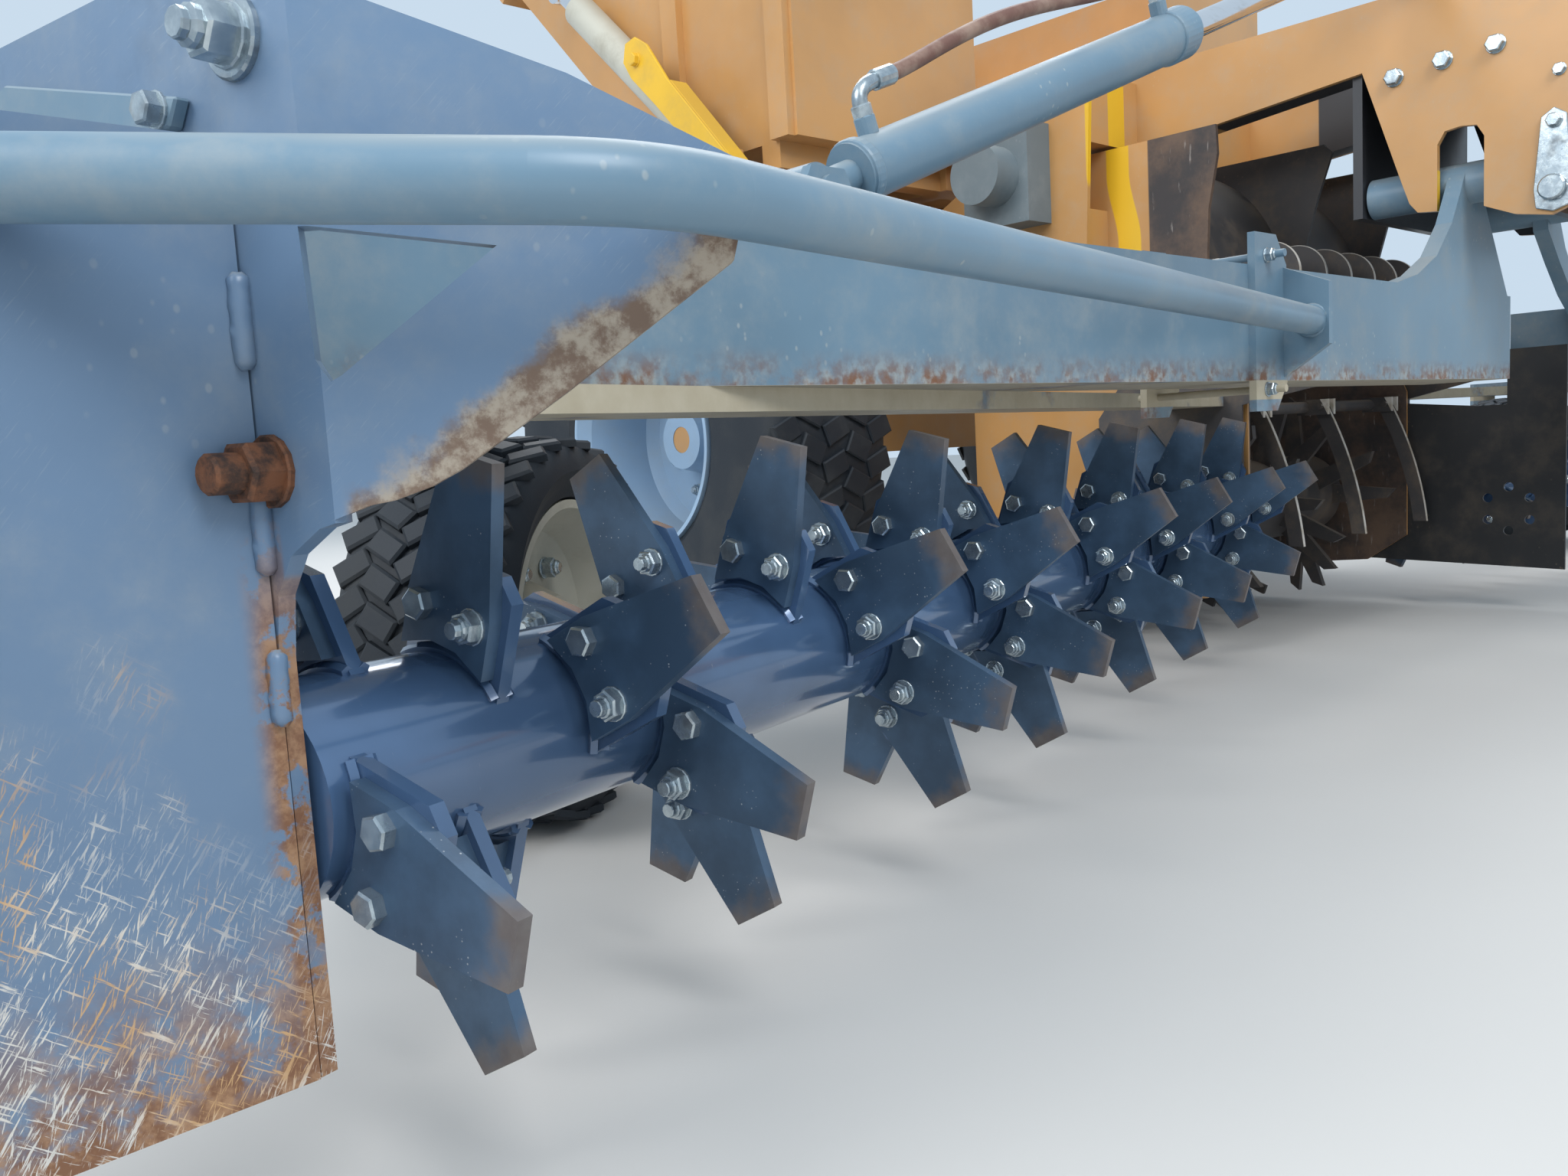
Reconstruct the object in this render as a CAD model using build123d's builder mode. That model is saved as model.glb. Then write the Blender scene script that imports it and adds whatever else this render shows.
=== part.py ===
# Trailed stone picker: two folding side arms with skewed toothed rotors, a pickup
# reel with a comb grate, and a tipping hopper on two wheels.
# X points to the machine's right, Y forward, Z up, and the ground is Z = 0. Sizes in mm.
import os
from math import atan2, cos, degrees, hypot, radians, sin, sqrt

from build123d import *

os.makedirs("parts", exist_ok=True)

# Clearances
RUN_FIT = 0.06
SEAT_GAP = 0.3
MOVE_GAP = 8.0

# Arm beam
BEAM_SIZE = 180.0
BEAM_FRONT_Y = 1000.0
BEAM_BOTTOM_Z = 585.0
BEAM_INNER_X = 20.0
LEFT_BEAM_INNER_X = 575.0
BEAM_BACK_Y = BEAM_FRONT_Y - BEAM_SIZE
BEAM_TOP_Z = BEAM_BOTTOM_Z + BEAM_SIZE
BEAM_MID_Y = BEAM_FRONT_Y - BEAM_SIZE / 2

# Rotor: its axis is skewed to the beam, the outer end lies further forward
ROTOR_SKEW = 13.26
ROTOR_Z = 308.0
ROTOR_INNER_X = 488.216
ROTOR_INNER_Y = 554.211
ROTOR_SPAN = 2427.5
ROTOR_R = 76.2
ROTOR_END_GAP = 5.0
SHAFT_R = 25.0
PLATE_T = 12.0

# Rotor teeth: two helices of plates bolted to brackets on the tube
TEETH_PER_TURN = 8
TOOTH_STEP = 88.0
FIRST_TOOTH = 37.5
FIRST_ANGLE = -18.0
SECOND_HELIX_ANGLE = 135.0
TOOTH_TIP_R = 232.0
TOOTH_TIP_SLANT = 2.0
TOOTH_TIP_W = 48.0
TOOTH_SHOULDER_R = 118.0
TOOTH_BASE_W = 88.0
TOOTH_BASE_R = 86.0
TOOTH_T = 12.0
BRACKET_R = 150.0
BRACKET_W = 102.0
BRACKET_CORNER = 16.0

# Where the rotor's axis meets its outer bearing plate
ROTOR_OUTER_X = ROTOR_INNER_X + ROTOR_SPAN * cos(radians(ROTOR_SKEW))
ROTOR_OUTER_Y = ROTOR_INNER_Y + ROTOR_SPAN * sin(radians(ROTOR_SKEW))

# Outer bearing plate, its bent ear behind the guard tube, the chain case and the shield
PLATE_FRONT_V = 62.0
EAR_V = 130.0
EAR_TURN = 42.05
CASE_R = 36.0
CASE_T = 30.0
MOTOR_FORE = -110.0
MOTOR_HIGH = 140.0
MOTOR_CASE_R = 55.0
MOTOR_R = 50.0
MOTOR_LENGTH = 130.0
SHIELD_Y = ROTOR_OUTER_Y + 54
SHIELD_T = 8.0
SHIELD_X = ROTOR_OUTER_X - 13
SHIELD_END_X = ROTOR_OUTER_X + 319
SHIELD_BACK_Y = ROTOR_OUTER_Y - 224
SHIELD_BOTTOM_Z = 137.0
SHIELD_TOP_Z = 720.0

# Guard tube and its clamp on the beam
TUBE_R = 22.25
TUBE_BEND = (ROTOR_OUTER_X - 143, ROTOR_OUTER_Y + 299, 663.0)
TUBE_OUTER = (ROTOR_OUTER_X + 113, ROTOR_OUTER_Y + 99, 677.0)
TUBE_INNER = (1100.0, 1048.0, 675.0)
TUBE_BEND_R = 130.0
CLAMP_X = 1130.0
CLAMP_W = 106.0
CLAMP_FLANGE = 85.0
CLAMP_OVERHANG = 48.0
ROD_R = 6.0

# Arm pivot in the front box
PIVOT_X = 262.0
PIVOT_Z = 985.0
PIVOT_PIN_R = 25.0
PIVOT_SLEEVE_R = 42.0
NECK_T = 32.0
NECK_REACH_X = 650.0
PIVOT_BACK_Y = 800.0
PIVOT_FRONT_Y = 1050.0
PIVOT_WALL = 20.0

# Fold cylinder
FOLD_EYE_X = 2100.0
FOLD_EYE_Z = 805.0
FOLD_TOP_X = 400.0
FOLD_TOP_Z = 1465.0
FOLD_Y = BEAM_MID_Y
FOLD_BARREL_R = 37.0
FOLD_BORE_R = 30.0
FOLD_ROD_R = 20.0
FOLD_BARREL_END = 900.0
FOLD_PISTON_AT = 740.0
EYE_W = 40.0
EYE_R = 32.0
EYE_NECK_R = 19.0
BARREL_START = 78.0
OPEN_GAP = 5.0
EYE_PIN_R = 15.0
LUG_GAP = 2.0
LUG_T = 14.0

# Caster gauge wheel behind each rotor
CASTER_X = 2300.0
CASTER_Y = 409.0
CASTER_TRAIL = 130.0
CASTER_ANGLE = 212.0
CASTER_R = 280.0
CASTER_W = 250.0
CASTER_RIM_R = 186.0
CASTER_STEM_R = 25.0
CASTER_SLEEVE_R = 45.0
CASTER_SLEEVE_BOTTOM = 620.0
CASTER_SLEEVE_TOP = 760.0
CASTER_SPINDLE_R = 20.0

# Front box and chassis
BOX_X = 312.0
BOX_T = 16.0
BOX_TOP_Z = 1380.0
RAIL_X = 455.0
RAIL_W = 85.0
RAIL_BOTTOM_Z = 880.0
RAIL_TOP_Z = 1040.0
RAIL_REAR_Y = -1300.0
RAIL_FRONT_Y = 262.0
CHEEK_X = 540.0
MAIN_PIN_R = 28.0
MAIN_PIN_Y = 1164.0
MAIN_PIN_Z = 956.0

# Main wheels
WHEEL_X = 1000.0
WHEEL_Y = -700.0
WHEEL_R = 560.0
WHEEL_W = 400.0
RIM_R = 286.0
SPINDLE_R = 35.0

# Pickup reel, its stripper bands and the comb grate
REEL_Y = 330.0
REEL_Z = 310.0
REEL_DRUM_R = 110.0
REEL_TINE_R = 275.0
BAND_CENTRE_Y = -270.0
BAND_CENTRE_Z = 130.0
BAND_R = 950.0
BAND_DEPTH = 34.0
BAND_T = 9.0
BAND_LOW_Z = 232.0
BAND_HIGH_Z = 560.0
BAND_BAR_R = 14.0
WALL_X = 445.0
WALL_T = 10.0
WALL_FRONT_Y = 605.0
GRATE_R = 290.0
GRATE_BAR_T = 12.0
GRATE_BAR_DEPTH = 26.0
GRATE_BARS = 9

# Disc shaft and curved chute cover above the reel, and the black shield on the left
DISC_Y = 600.0
DISC_Z = 850.0
DISC_R = 74.0
DISC_T = 8.0
DISC_SHAFT_R = 25.0
COVER_Y = 180.0
COVER_Z = 860.0
COVER_R = 310.0
COVER_T = 6.0
COVER_START = -7.0
COVER_TURN = 106.0
FIN_T = 10.0
FIN_START = 18.0
FIN_TURN = 54.0
SHIELD_PLATE_T = 8.0
SHIELD_HOLES_Y = 855.0
SHIELD_HOLES_Z = 260.0
SHIELD_HOLES_R = 57.0
SHIELD_HOLE_R = 12.0

# Hopper with a sloped rear floor, its pivot uprights and its cylinders
HOPPER_X = 1100.0
HOPPER_FRONT_Y = -120.0
HOPPER_FLOOR_Z = 1220.0
HOPPER_TOP_Z = 2100.0
SLOPE_START_Y = -600.0
SLOPE_LENGTH = 1060.0
SLOPE_ANGLE = 45.0
HOPPER_REAR_Y = -1500.0
HOPPER_T = 6.0
TIP_Y = -1050.0
TIP_Z = 1350.0
TIP_PIN_R = 20.0
TIP_X = 1170.0
TIP_LOW_Y = -300.0
TIP_LOW_Z = 1190.0
TIP_HIGH_Y = -900.0
TIP_HIGH_Z = 1740.0
TIP_EYE_W = 52.0
TIP_BARREL_R = 42.0
TIP_BORE_R = 35.0
TIP_ROD_R = 24.0
TIP_BARREL_END = 715.0
TIP_PISTON_AT = 108.0

# Drawbar and jack
DRAWBAR_FRONT_Y = 3300.0
DRAWBAR_FRONT_Z = 640.0
DRAWBAR_ROOT_Y = 1240.0
DRAWBAR_ROOT_Z = 1110.0
DRAWBAR_ROOT_X = 296.0
DRAWBAR_NOSE_X = 70.0
DRAWBAR_TIE = 110.0
DRAWBAR_HEAD_LENGTH = 330.0
DRAWBAR_GAP_REAR_X = 190.0
DRAWBAR_GAP_FRONT_X = 25.0
DRAWBAR_H = 140.0
EYE_Y = 3480.0
EYE_HOLE_R = 20.0
EYE_OUTER_R = 52.0
EYE_HEIGHT = 36.0
JACK_X = 225.0
JACK_Y = 2750.0
JACK_LEG = 60.0
JACK_WALL = 8.0
JACK_LEG_TOP = 640.0
JACK_SLEEVE_BOTTOM = 480.0
JACK_SLEEVE_TOP = 1010.0

# The record's origin is the middle of the machine's length
MID_Y = (EYE_Y + EYE_OUTER_R + HOPPER_REAR_Y) / 2

skew = radians(ROTOR_SKEW)
INWARD = Vector(-cos(skew), -sin(skew), 0)
FORE = Vector(-sin(skew), cos(skew), 0)
UP = Vector(0, 0, 1)


def rotor_point(station, fore=0.0, high=0.0):
    # A point by its station from the outer bearing plate, and its place off the axis
    start = Vector(ROTOR_OUTER_X, ROTOR_OUTER_Y, ROTOR_Z)
    return start + INWARD * station + FORE * fore + UP * high


def rotor_plane(station, angle):
    # Square to the axis, X along a radius, Z inward
    radial = FORE * cos(radians(angle)) + UP * sin(radians(angle))
    return Plane(origin=rotor_point(station), x_dir=radial, z_dir=INWARD)


def rotor_wall(station):
    # Square to the axis, X forward, Y up, Z outward
    return Plane(origin=rotor_point(station), x_dir=FORE, z_dir=INWARD * -1)


def across(y):
    # Sketch in X and Z, extruded towards the rear
    return Plane(origin=(0, y, 0), x_dir=(1, 0, 0), z_dir=(0, -1, 0))


def along(x):
    # Sketch in Y and Z, extruded to the right
    return Plane(origin=(x, 0, 0), x_dir=(0, 1, 0), z_dir=(1, 0, 0))


def slab(points, plane, thick):
    with BuildPart() as piece:
        with BuildSketch(plane):
            Polygon(*points, align=None)
        extrude(amount=thick)
    return piece.part


def block(x0, x1, y0, y1, z0, z1):
    return slab([(x0, y0), (x1, y0), (x1, y1), (x0, y1)], Plane.XY.offset(z0), z1 - z0)


def rod(start, end, radius):
    start = Vector(*start)
    end = Vector(*end)
    with BuildPart() as piece:
        with BuildSketch(Plane(origin=start, z_dir=end - start)):
            Circle(radius)
        extrude(amount=(end - start).length)
    return piece.part


def turned(points, origin, axis):
    # A closed profile of (place along the axis, radius), turned about the axis
    axis = Vector(*axis).normalized()
    side = UP if abs(axis.Z) < 0.9 else Vector(1, 0, 0)
    plane = Plane(origin=origin, x_dir=axis, z_dir=axis.cross(side))
    with BuildPart() as piece:
        with BuildSketch(plane):
            Polygon(*points, align=None)
        revolve(axis=Axis(origin, axis))
    return piece.part


def save(name, part):
    part = Pos(0, -MID_Y, 0) * part
    part.label = name
    export_step(part, "parts/" + name + ".step")


def save_pair(name, part):
    save(name + "_right", part)
    with BuildPart() as twin:
        mirror(part, about=Plane.YZ)
    save(name + "_left", twin.part)


# Arm beam with its neck, pivot sleeve, cylinder lugs and caster socket. The left arm's
# beam ends further out, so its neck reaches down to the beam's end.
crest = [
    (PIVOT_X - 38, PIVOT_Z + 18),
    (PIVOT_X + 30, PIVOT_Z + 30),
    (PIVOT_X + 62, PIVOT_Z - 20),
    (PIVOT_X + 110, PIVOT_Z - 88),
    (PIVOT_X + 190, PIVOT_Z - 158),
    (PIVOT_X + 290, PIVOT_Z - 200),
]
right_neck = [(BEAM_INNER_X + 20, BEAM_TOP_Z)] + crest + [(NECK_REACH_X, BEAM_TOP_Z)]
left_neck = crest + [
    (LEFT_BEAM_INNER_X + 125, BEAM_TOP_Z),
    (LEFT_BEAM_INNER_X + 125, BEAM_BOTTOM_Z + 15),
    (LEFT_BEAM_INNER_X, BEAM_BOTTOM_Z + 15),
    (LEFT_BEAM_INNER_X - 35, BEAM_TOP_Z - 30),
    (PIVOT_X + 168, PIVOT_Z - 195),
    (PIVOT_X + 68, PIVOT_Z - 125),
    (PIVOT_X - 22, PIVOT_Z - 55),
]
lug_inner = EYE_W / 2 + LUG_GAP
fold_lug = [
    (FOLD_EYE_X - 60, BEAM_TOP_Z),
    (FOLD_EYE_X + 60, BEAM_TOP_Z),
    (FOLD_EYE_X + 26, FOLD_EYE_Z + 24),
    (FOLD_EYE_X - 26, FOLD_EYE_Z + 24),
]
strip = [rotor_point(s, v) for s, v in ((0, -110), (ROTOR_SPAN, -110), (ROTOR_SPAN, 10), (0, 10))]
beyond = [rotor_point(s, v) for s, v in ((-400, -900), (PLATE_T, -900), (PLATE_T, 500), (-400, 500))]


def arm_beam(inner_x, neck):
    with BuildPart() as arm:
        add(block(inner_x, ROTOR_OUTER_X + 110, BEAM_BACK_Y, BEAM_FRONT_Y, BEAM_BOTTOM_Z, BEAM_TOP_Z))
        add(slab([(p.X, p.Y) for p in strip], Plane.XY.offset(BEAM_BOTTOM_Z - 25), 25))
        add(slab(neck, across(BEAM_FRONT_Y), NECK_T))
        add(rod((PIVOT_X, PIVOT_BACK_Y + 5, PIVOT_Z), (PIVOT_X, PIVOT_FRONT_Y - 5, PIVOT_Z), PIVOT_SLEEVE_R))
        for side in (-1, 1):
            near = FOLD_Y + side * lug_inner + (LUG_T if side > 0 else 0)
            add(slab(fold_lug, across(near), LUG_T))
        pin_half = Vector(0, lug_inner + LUG_T + 8, 0)
        pin = Vector(FOLD_EYE_X, FOLD_Y, FOLD_EYE_Z)
        add(rod(pin - pin_half, pin + pin_half, EYE_PIN_R))
        add(block(CASTER_X - 50, CASTER_X + 50, CASTER_Y, BEAM_BACK_Y, 640, 740))
        add(rod((CASTER_X, CASTER_Y, CASTER_SLEEVE_BOTTOM), (CASTER_X, CASTER_Y, CASTER_SLEEVE_TOP), CASTER_SLEEVE_R))
        add(slab([(p.X, p.Y) for p in beyond], Plane.XY.offset(400), 500), mode=Mode.SUBTRACT)
        add(
            rod((PIVOT_X, PIVOT_BACK_Y, PIVOT_Z), (PIVOT_X, PIVOT_FRONT_Y, PIVOT_Z), PIVOT_PIN_R + RUN_FIT),
            mode=Mode.SUBTRACT,
        )
        add(
            rod((CASTER_X, CASTER_Y, 600), (CASTER_X, CASTER_Y, 800), CASTER_STEM_R + RUN_FIT),
            mode=Mode.SUBTRACT,
        )
    return arm.part


save("arm_beam_right", arm_beam(BEAM_INNER_X, right_neck))
with BuildPart() as left_arm:
    mirror(arm_beam(LEFT_BEAM_INNER_X, left_neck), about=Plane.YZ)
save("arm_beam_left", left_arm.part)

# Outer bearing plate: square to the rotor up to a bend line, from where its ear turns
# inward to the back of the guard tube. The shield in front runs along the beam.
outer_outline = [
    (EAR_V, 486),
    (112, 490),
    (-25, 520),
    (-216, 517),
    (-300, 457),
    (-300, 268),
    (-150, 130),
    (-90, -70),
    (PLATE_FRONT_V - 122, SHIELD_BOTTOM_Z - ROTOR_Z),
    (PLATE_FRONT_V, SHIELD_BOTTOM_Z - ROTOR_Z),
    (PLATE_FRONT_V, 100),
    (PLATE_FRONT_V + 6, 140),
    (PLATE_FRONT_V + 23, 165),
    (PLATE_FRONT_V + 53, 181),
    (EAR_V, 184),
]
# Ear outline and window as (distance from the bend line, height over the rotor axis)
ear_outline = [
    (0, 186),
    (20, 193),
    (34, 195),
    (56, 202),
    (74, 211),
    (137, 252),
    (241, 325),
    (245, 340),
    (249, 382),
    (151, 433),
    (32, 478),
    (0, 487),
]
ear_window = [(-6, 353), (-3, 278), (5, 265), (11, 268), (104, 338)]
ear_run = FORE * cos(radians(EAR_TURN)) + INWARD * sin(radians(EAR_TURN))
ear_front = Plane(origin=rotor_point(0, EAR_V), x_dir=ear_run, z_dir=ear_run.cross(UP))
motor_at = {"fore": MOTOR_FORE, "high": MOTOR_HIGH}
case_link = [
    (-CASE_R * 0.8, -CASE_R * 0.6),
    (MOTOR_FORE - MOTOR_CASE_R * 0.8, MOTOR_HIGH - MOTOR_CASE_R * 0.6),
    (MOTOR_FORE + MOTOR_CASE_R * 0.8, MOTOR_HIGH + MOTOR_CASE_R * 0.6),
    (CASE_R * 0.8, CASE_R * 0.6),
]
shield_top = [
    (SHIELD_X, SHIELD_Y),
    (SHIELD_END_X, SHIELD_Y),
    (SHIELD_END_X, SHIELD_BACK_Y),
    (SHIELD_X + 66, SHIELD_BACK_Y),
]
shield_end = [
    (SHIELD_Y, SHIELD_BOTTOM_Z),
    (SHIELD_Y, SHIELD_TOP_Z),
    (SHIELD_BACK_Y, SHIELD_TOP_Z),
    (SHIELD_BACK_Y, SHIELD_TOP_Z - 260),
    (SHIELD_Y - 120, SHIELD_BOTTOM_Z),
]
with BuildPart() as outer_plate:
    add(slab(outer_outline, rotor_wall(PLATE_T), PLATE_T))
    add(slab(ear_outline, ear_front, -PLATE_T))
    add(slab(ear_window, ear_front.offset(PLATE_T), -3 * PLATE_T), mode=Mode.SUBTRACT)
    add(rod(rotor_point(-CASE_T), rotor_point(0), CASE_R))
    add(rod(rotor_point(-CASE_T, **motor_at), rotor_point(0, **motor_at), MOTOR_CASE_R))
    add(slab(case_link, rotor_wall(0), CASE_T))
    add(rod(rotor_point(-CASE_T - MOTOR_LENGTH, **motor_at), rotor_point(-CASE_T, **motor_at), MOTOR_R))
    add(block(SHIELD_X, SHIELD_END_X, SHIELD_Y, SHIELD_Y + SHIELD_T, SHIELD_BOTTOM_Z, SHIELD_TOP_Z))
    add(slab(shield_top, Plane.XY.offset(SHIELD_TOP_Z - SHIELD_T), SHIELD_T))
    add(slab(shield_end, along(SHIELD_END_X - SHIELD_T), SHIELD_T))
    add(rod(rotor_point(-CASE_T), rotor_point(PLATE_T + 1), SHAFT_R + RUN_FIT), mode=Mode.SUBTRACT)
    with BuildLine():
        tube_path = FilletPolyline(TUBE_OUTER, TUBE_BEND, TUBE_INNER, radius=TUBE_BEND_R)
    with BuildSketch(Plane(origin=tube_path @ 0, z_dir=tube_path % 0)):
        Circle(TUBE_R + SEAT_GAP)
    sweep(path=tube_path, mode=Mode.SUBTRACT)
save_pair("outer_bearing_plate", outer_plate.part)

# Inner bearing plate, hung from the back of the beam
inner_outline = [
    (50, -160),
    (50, BEAM_BOTTOM_Z - ROTOR_Z - 25),
    (300, 300),
    (300, 430),
    (-140, 430),
    (-277, 240),
    (-277, -60),
    (-200, -160),
]
with BuildPart() as inner_plate:
    add(slab(inner_outline, rotor_wall(ROTOR_SPAN + PLATE_T), PLATE_T))
    add(rod(rotor_point(ROTOR_SPAN - 25), rotor_point(ROTOR_SPAN), 55))
    add(rod(rotor_point(ROTOR_SPAN - 30), rotor_point(ROTOR_SPAN + PLATE_T + 1), SHAFT_R + RUN_FIT), mode=Mode.SUBTRACT)
    add(block(-100, ROTOR_OUTER_X, BEAM_BACK_Y, BEAM_FRONT_Y + 50, BEAM_BOTTOM_Z - 100, BEAM_TOP_Z + 50), mode=Mode.SUBTRACT)
save_pair("inner_bearing_plate", inner_plate.part)

# Rotor tube with shafts and brackets
tube_start = PLATE_T + ROTOR_END_GAP
tube_end = ROTOR_SPAN - 25 - ROTOR_END_GAP - 5
teeth_in_helix = 1 + int((tube_end - FIRST_TOOTH - TOOTH_STEP / 2 - TOOTH_T) / TOOTH_STEP)
stations = []
for helix in (0, 1):
    for count in range(teeth_in_helix):
        place = FIRST_TOOTH + TOOTH_STEP * (count + helix / 2)
        turn = FIRST_ANGLE + SECOND_HELIX_ANGLE * helix - 360 / TEETH_PER_TURN * count
        stations.append((place, turn))
half = BRACKET_W / 2
bracket_outline = [
    (ROTOR_R - 20, -half),
    (BRACKET_R - BRACKET_CORNER, -half),
    (BRACKET_R, BRACKET_CORNER - half),
    (BRACKET_R, half - BRACKET_CORNER),
    (BRACKET_R - BRACKET_CORNER, half),
    (ROTOR_R - 20, half),
]
base = TOOTH_BASE_W / 2
tip = TOOTH_TIP_W / 2
foot_r = sqrt(TOOTH_BASE_R ** 2 - base ** 2)
tooth_outline = [
    (foot_r, -base),
    (TOOTH_SHOULDER_R, -base),
    (TOOTH_TIP_R - TOOTH_TIP_SLANT, -tip),
    (TOOTH_TIP_R, tip),
    (TOOTH_SHOULDER_R, base),
    (foot_r, base),
    (TOOTH_BASE_R, 14),
    (TOOTH_BASE_R, -14),
]
with BuildPart() as rotor:
    add(rod(rotor_point(tube_start), rotor_point(tube_end), ROTOR_R))
    add(rod(rotor_point(-CASE_T + 2), rotor_point(tube_start), SHAFT_R))
    add(rod(rotor_point(tube_end), rotor_point(ROTOR_SPAN + PLATE_T - 2), SHAFT_R))
    for place, turn in stations:
        add(slab(bracket_outline, rotor_plane(place, turn), PLATE_T))
save_pair("rotor", rotor.part)

teeth = [slab(tooth_outline, rotor_plane(place - TOOTH_T, turn), TOOTH_T) for place, turn in stations]
save_pair("rotor_teeth", Compound(children=teeth))

# Guard tube from the shield round the ear to the clamp
with BuildPart() as guard_tube:
    with BuildLine():
        tube_path = FilletPolyline(TUBE_OUTER, TUBE_BEND, TUBE_INNER, radius=TUBE_BEND_R)
    with BuildSketch(Plane(origin=tube_path @ 0, z_dir=tube_path % 0)):
        Circle(TUBE_R)
    sweep(path=tube_path)
    outer = Vector(*TUBE_OUTER)
    add(rod(outer, outer + (outer - Vector(*TUBE_BEND)) * 0.4, TUBE_R))
    shield_face = SHIELD_Y + SHIELD_T
    add(block(SHIELD_X, SHIELD_END_X, shield_face - 200, shield_face, 500, 900), mode=Mode.SUBTRACT)
    add(block(900, CLAMP_X + PLATE_T, 900, 1200, 500, 900), mode=Mode.SUBTRACT)
save_pair("guard_tube", guard_tube.part)

# Clamp: bent front plate with a flange for the tube, two long rods and a back plate
clamp_low = BEAM_BOTTOM_Z - CLAMP_OVERHANG
clamp_high = BEAM_TOP_Z + CLAMP_OVERHANG
front_outline = [
    (CLAMP_X, clamp_low + 45),
    (CLAMP_X + 35, clamp_low),
    (CLAMP_X + CLAMP_W, clamp_low),
    (CLAMP_X + CLAMP_W, clamp_high),
    (CLAMP_X + 35, clamp_high),
    (CLAMP_X, clamp_high - 45),
]
flange_outline = [
    (BEAM_FRONT_Y, clamp_low + 45),
    (BEAM_FRONT_Y + CLAMP_FLANGE, clamp_low + 100),
    (BEAM_FRONT_Y + CLAMP_FLANGE, clamp_high - 80),
    (BEAM_FRONT_Y, clamp_high - 45),
]
rod_x = CLAMP_X + 68
rod_off = ROD_R + 8
with BuildPart() as clamp:
    add(slab(front_outline, across(BEAM_FRONT_Y + PLATE_T), PLATE_T))
    add(slab(flange_outline, along(CLAMP_X), PLATE_T))
    add(slab(front_outline, across(BEAM_BACK_Y), PLATE_T))
    for z in (BEAM_BOTTOM_Z - rod_off, BEAM_TOP_Z + rod_off):
        add(rod((rod_x, BEAM_BACK_Y - PLATE_T - 24, z), (rod_x, BEAM_FRONT_Y + PLATE_T + 30, z), ROD_R))
save_pair("tube_clamp", clamp.part)

# Fold cylinder
fold_low = Vector(FOLD_EYE_X, FOLD_Y, FOLD_EYE_Z)
fold_high = Vector(FOLD_TOP_X, FOLD_Y, FOLD_TOP_Z)
fold_length = (fold_high - fold_low).length
fold_dir = (fold_high - fold_low).normalized()
half_eye = Vector(0, EYE_W / 2, 0)


def cylinder_barrel(low, direction, radius, bore, rod_radius, reach, eye_side):
    with BuildPart() as barrel:
        add(rod(low - eye_side, low + eye_side, EYE_R))
        add(rod(low + direction * 20, low + direction * (BARREL_START + 5), EYE_NECK_R))
        add(rod(low + direction * BARREL_START, low + direction * reach, radius))
        inside = low + direction * (BARREL_START + 22)
        add(rod(inside, low + direction * (reach - 45), bore), mode=Mode.SUBTRACT)
        add(rod(inside, low + direction * (reach + 1), rod_radius + RUN_FIT), mode=Mode.SUBTRACT)
        add(rod(low - eye_side * 2, low + eye_side * 2, EYE_PIN_R + RUN_FIT), mode=Mode.SUBTRACT)
    return barrel.part


def cylinder_rod(low, direction, bore, rod_radius, piston_at, total, eye_side):
    high = low + direction * total
    with BuildPart() as piston_rod:
        add(rod(low + direction * piston_at, low + direction * (piston_at + 40), bore - RUN_FIT))
        add(rod(low + direction * (piston_at + 20), low + direction * (total - 10), rod_radius))
        add(rod(high - eye_side, high + eye_side, EYE_R))
        add(rod(high - eye_side * 1.03, high + eye_side * 1.03, EYE_PIN_R))
    return piston_rod.part


fold_barrel = cylinder_barrel(
    fold_low, fold_dir, FOLD_BARREL_R, FOLD_BORE_R, FOLD_ROD_R, FOLD_BARREL_END, half_eye
)
save_pair("fold_barrel", fold_barrel)
fold_rod = cylinder_rod(fold_low, fold_dir, FOLD_BORE_R, FOLD_ROD_R, FOLD_PISTON_AT, fold_length, half_eye)
save_pair("fold_rod", fold_rod)

# Caster fork on its stem, with the spindle on the leg
trail = Vector(cos(radians(CASTER_ANGLE)), sin(radians(CASTER_ANGLE)), 0)
swivel = Vector(CASTER_X, CASTER_Y, 0)
hub = swivel + trail * CASTER_TRAIL + UP * CASTER_R
face = Vector(trail.Y, -trail.X, 0)
leg_near = CASTER_W / 2 + 22
leg_far = leg_near + 18
crown_bottom = CASTER_SLEEVE_BOTTOM - SEAT_GAP - 20
crown = [
    swivel + face * 60 - trail * 55,
    swivel + face * 60 + trail * 55,
    hub - face * leg_far + trail * 45,
    hub - face * leg_far - trail * 45,
    swivel - face * 60 - trail * 55,
]
with BuildPart() as fork:
    add(slab([(p.X, p.Y) for p in crown], Plane.XY.offset(crown_bottom), 20))
    add(rod(swivel + UP * crown_bottom, swivel + UP * (CASTER_SLEEVE_TOP + 12), CASTER_STEM_R))
    add(rod(
        swivel + UP * (CASTER_SLEEVE_TOP + SEAT_GAP),
        swivel + UP * (CASTER_SLEEVE_TOP + 12),
        CASTER_SLEEVE_R - 8,
    ))
    leg_plane = Plane(origin=hub - face * leg_near, x_dir=trail, z_dir=face * -1)
    rise = crown_bottom + 20 - CASTER_R
    flip = leg_plane.y_dir.Z
    leg = [(-48, rise * flip), (48, rise * flip), (48, 0), (30, -48 * flip), (-30, -48 * flip), (-48, 0)]
    add(slab(leg, leg_plane, 18))
    add(rod(hub - face * leg_near, hub + face * 60, CASTER_SPINDLE_R))
save_pair("caster_fork", fork.part)

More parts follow.
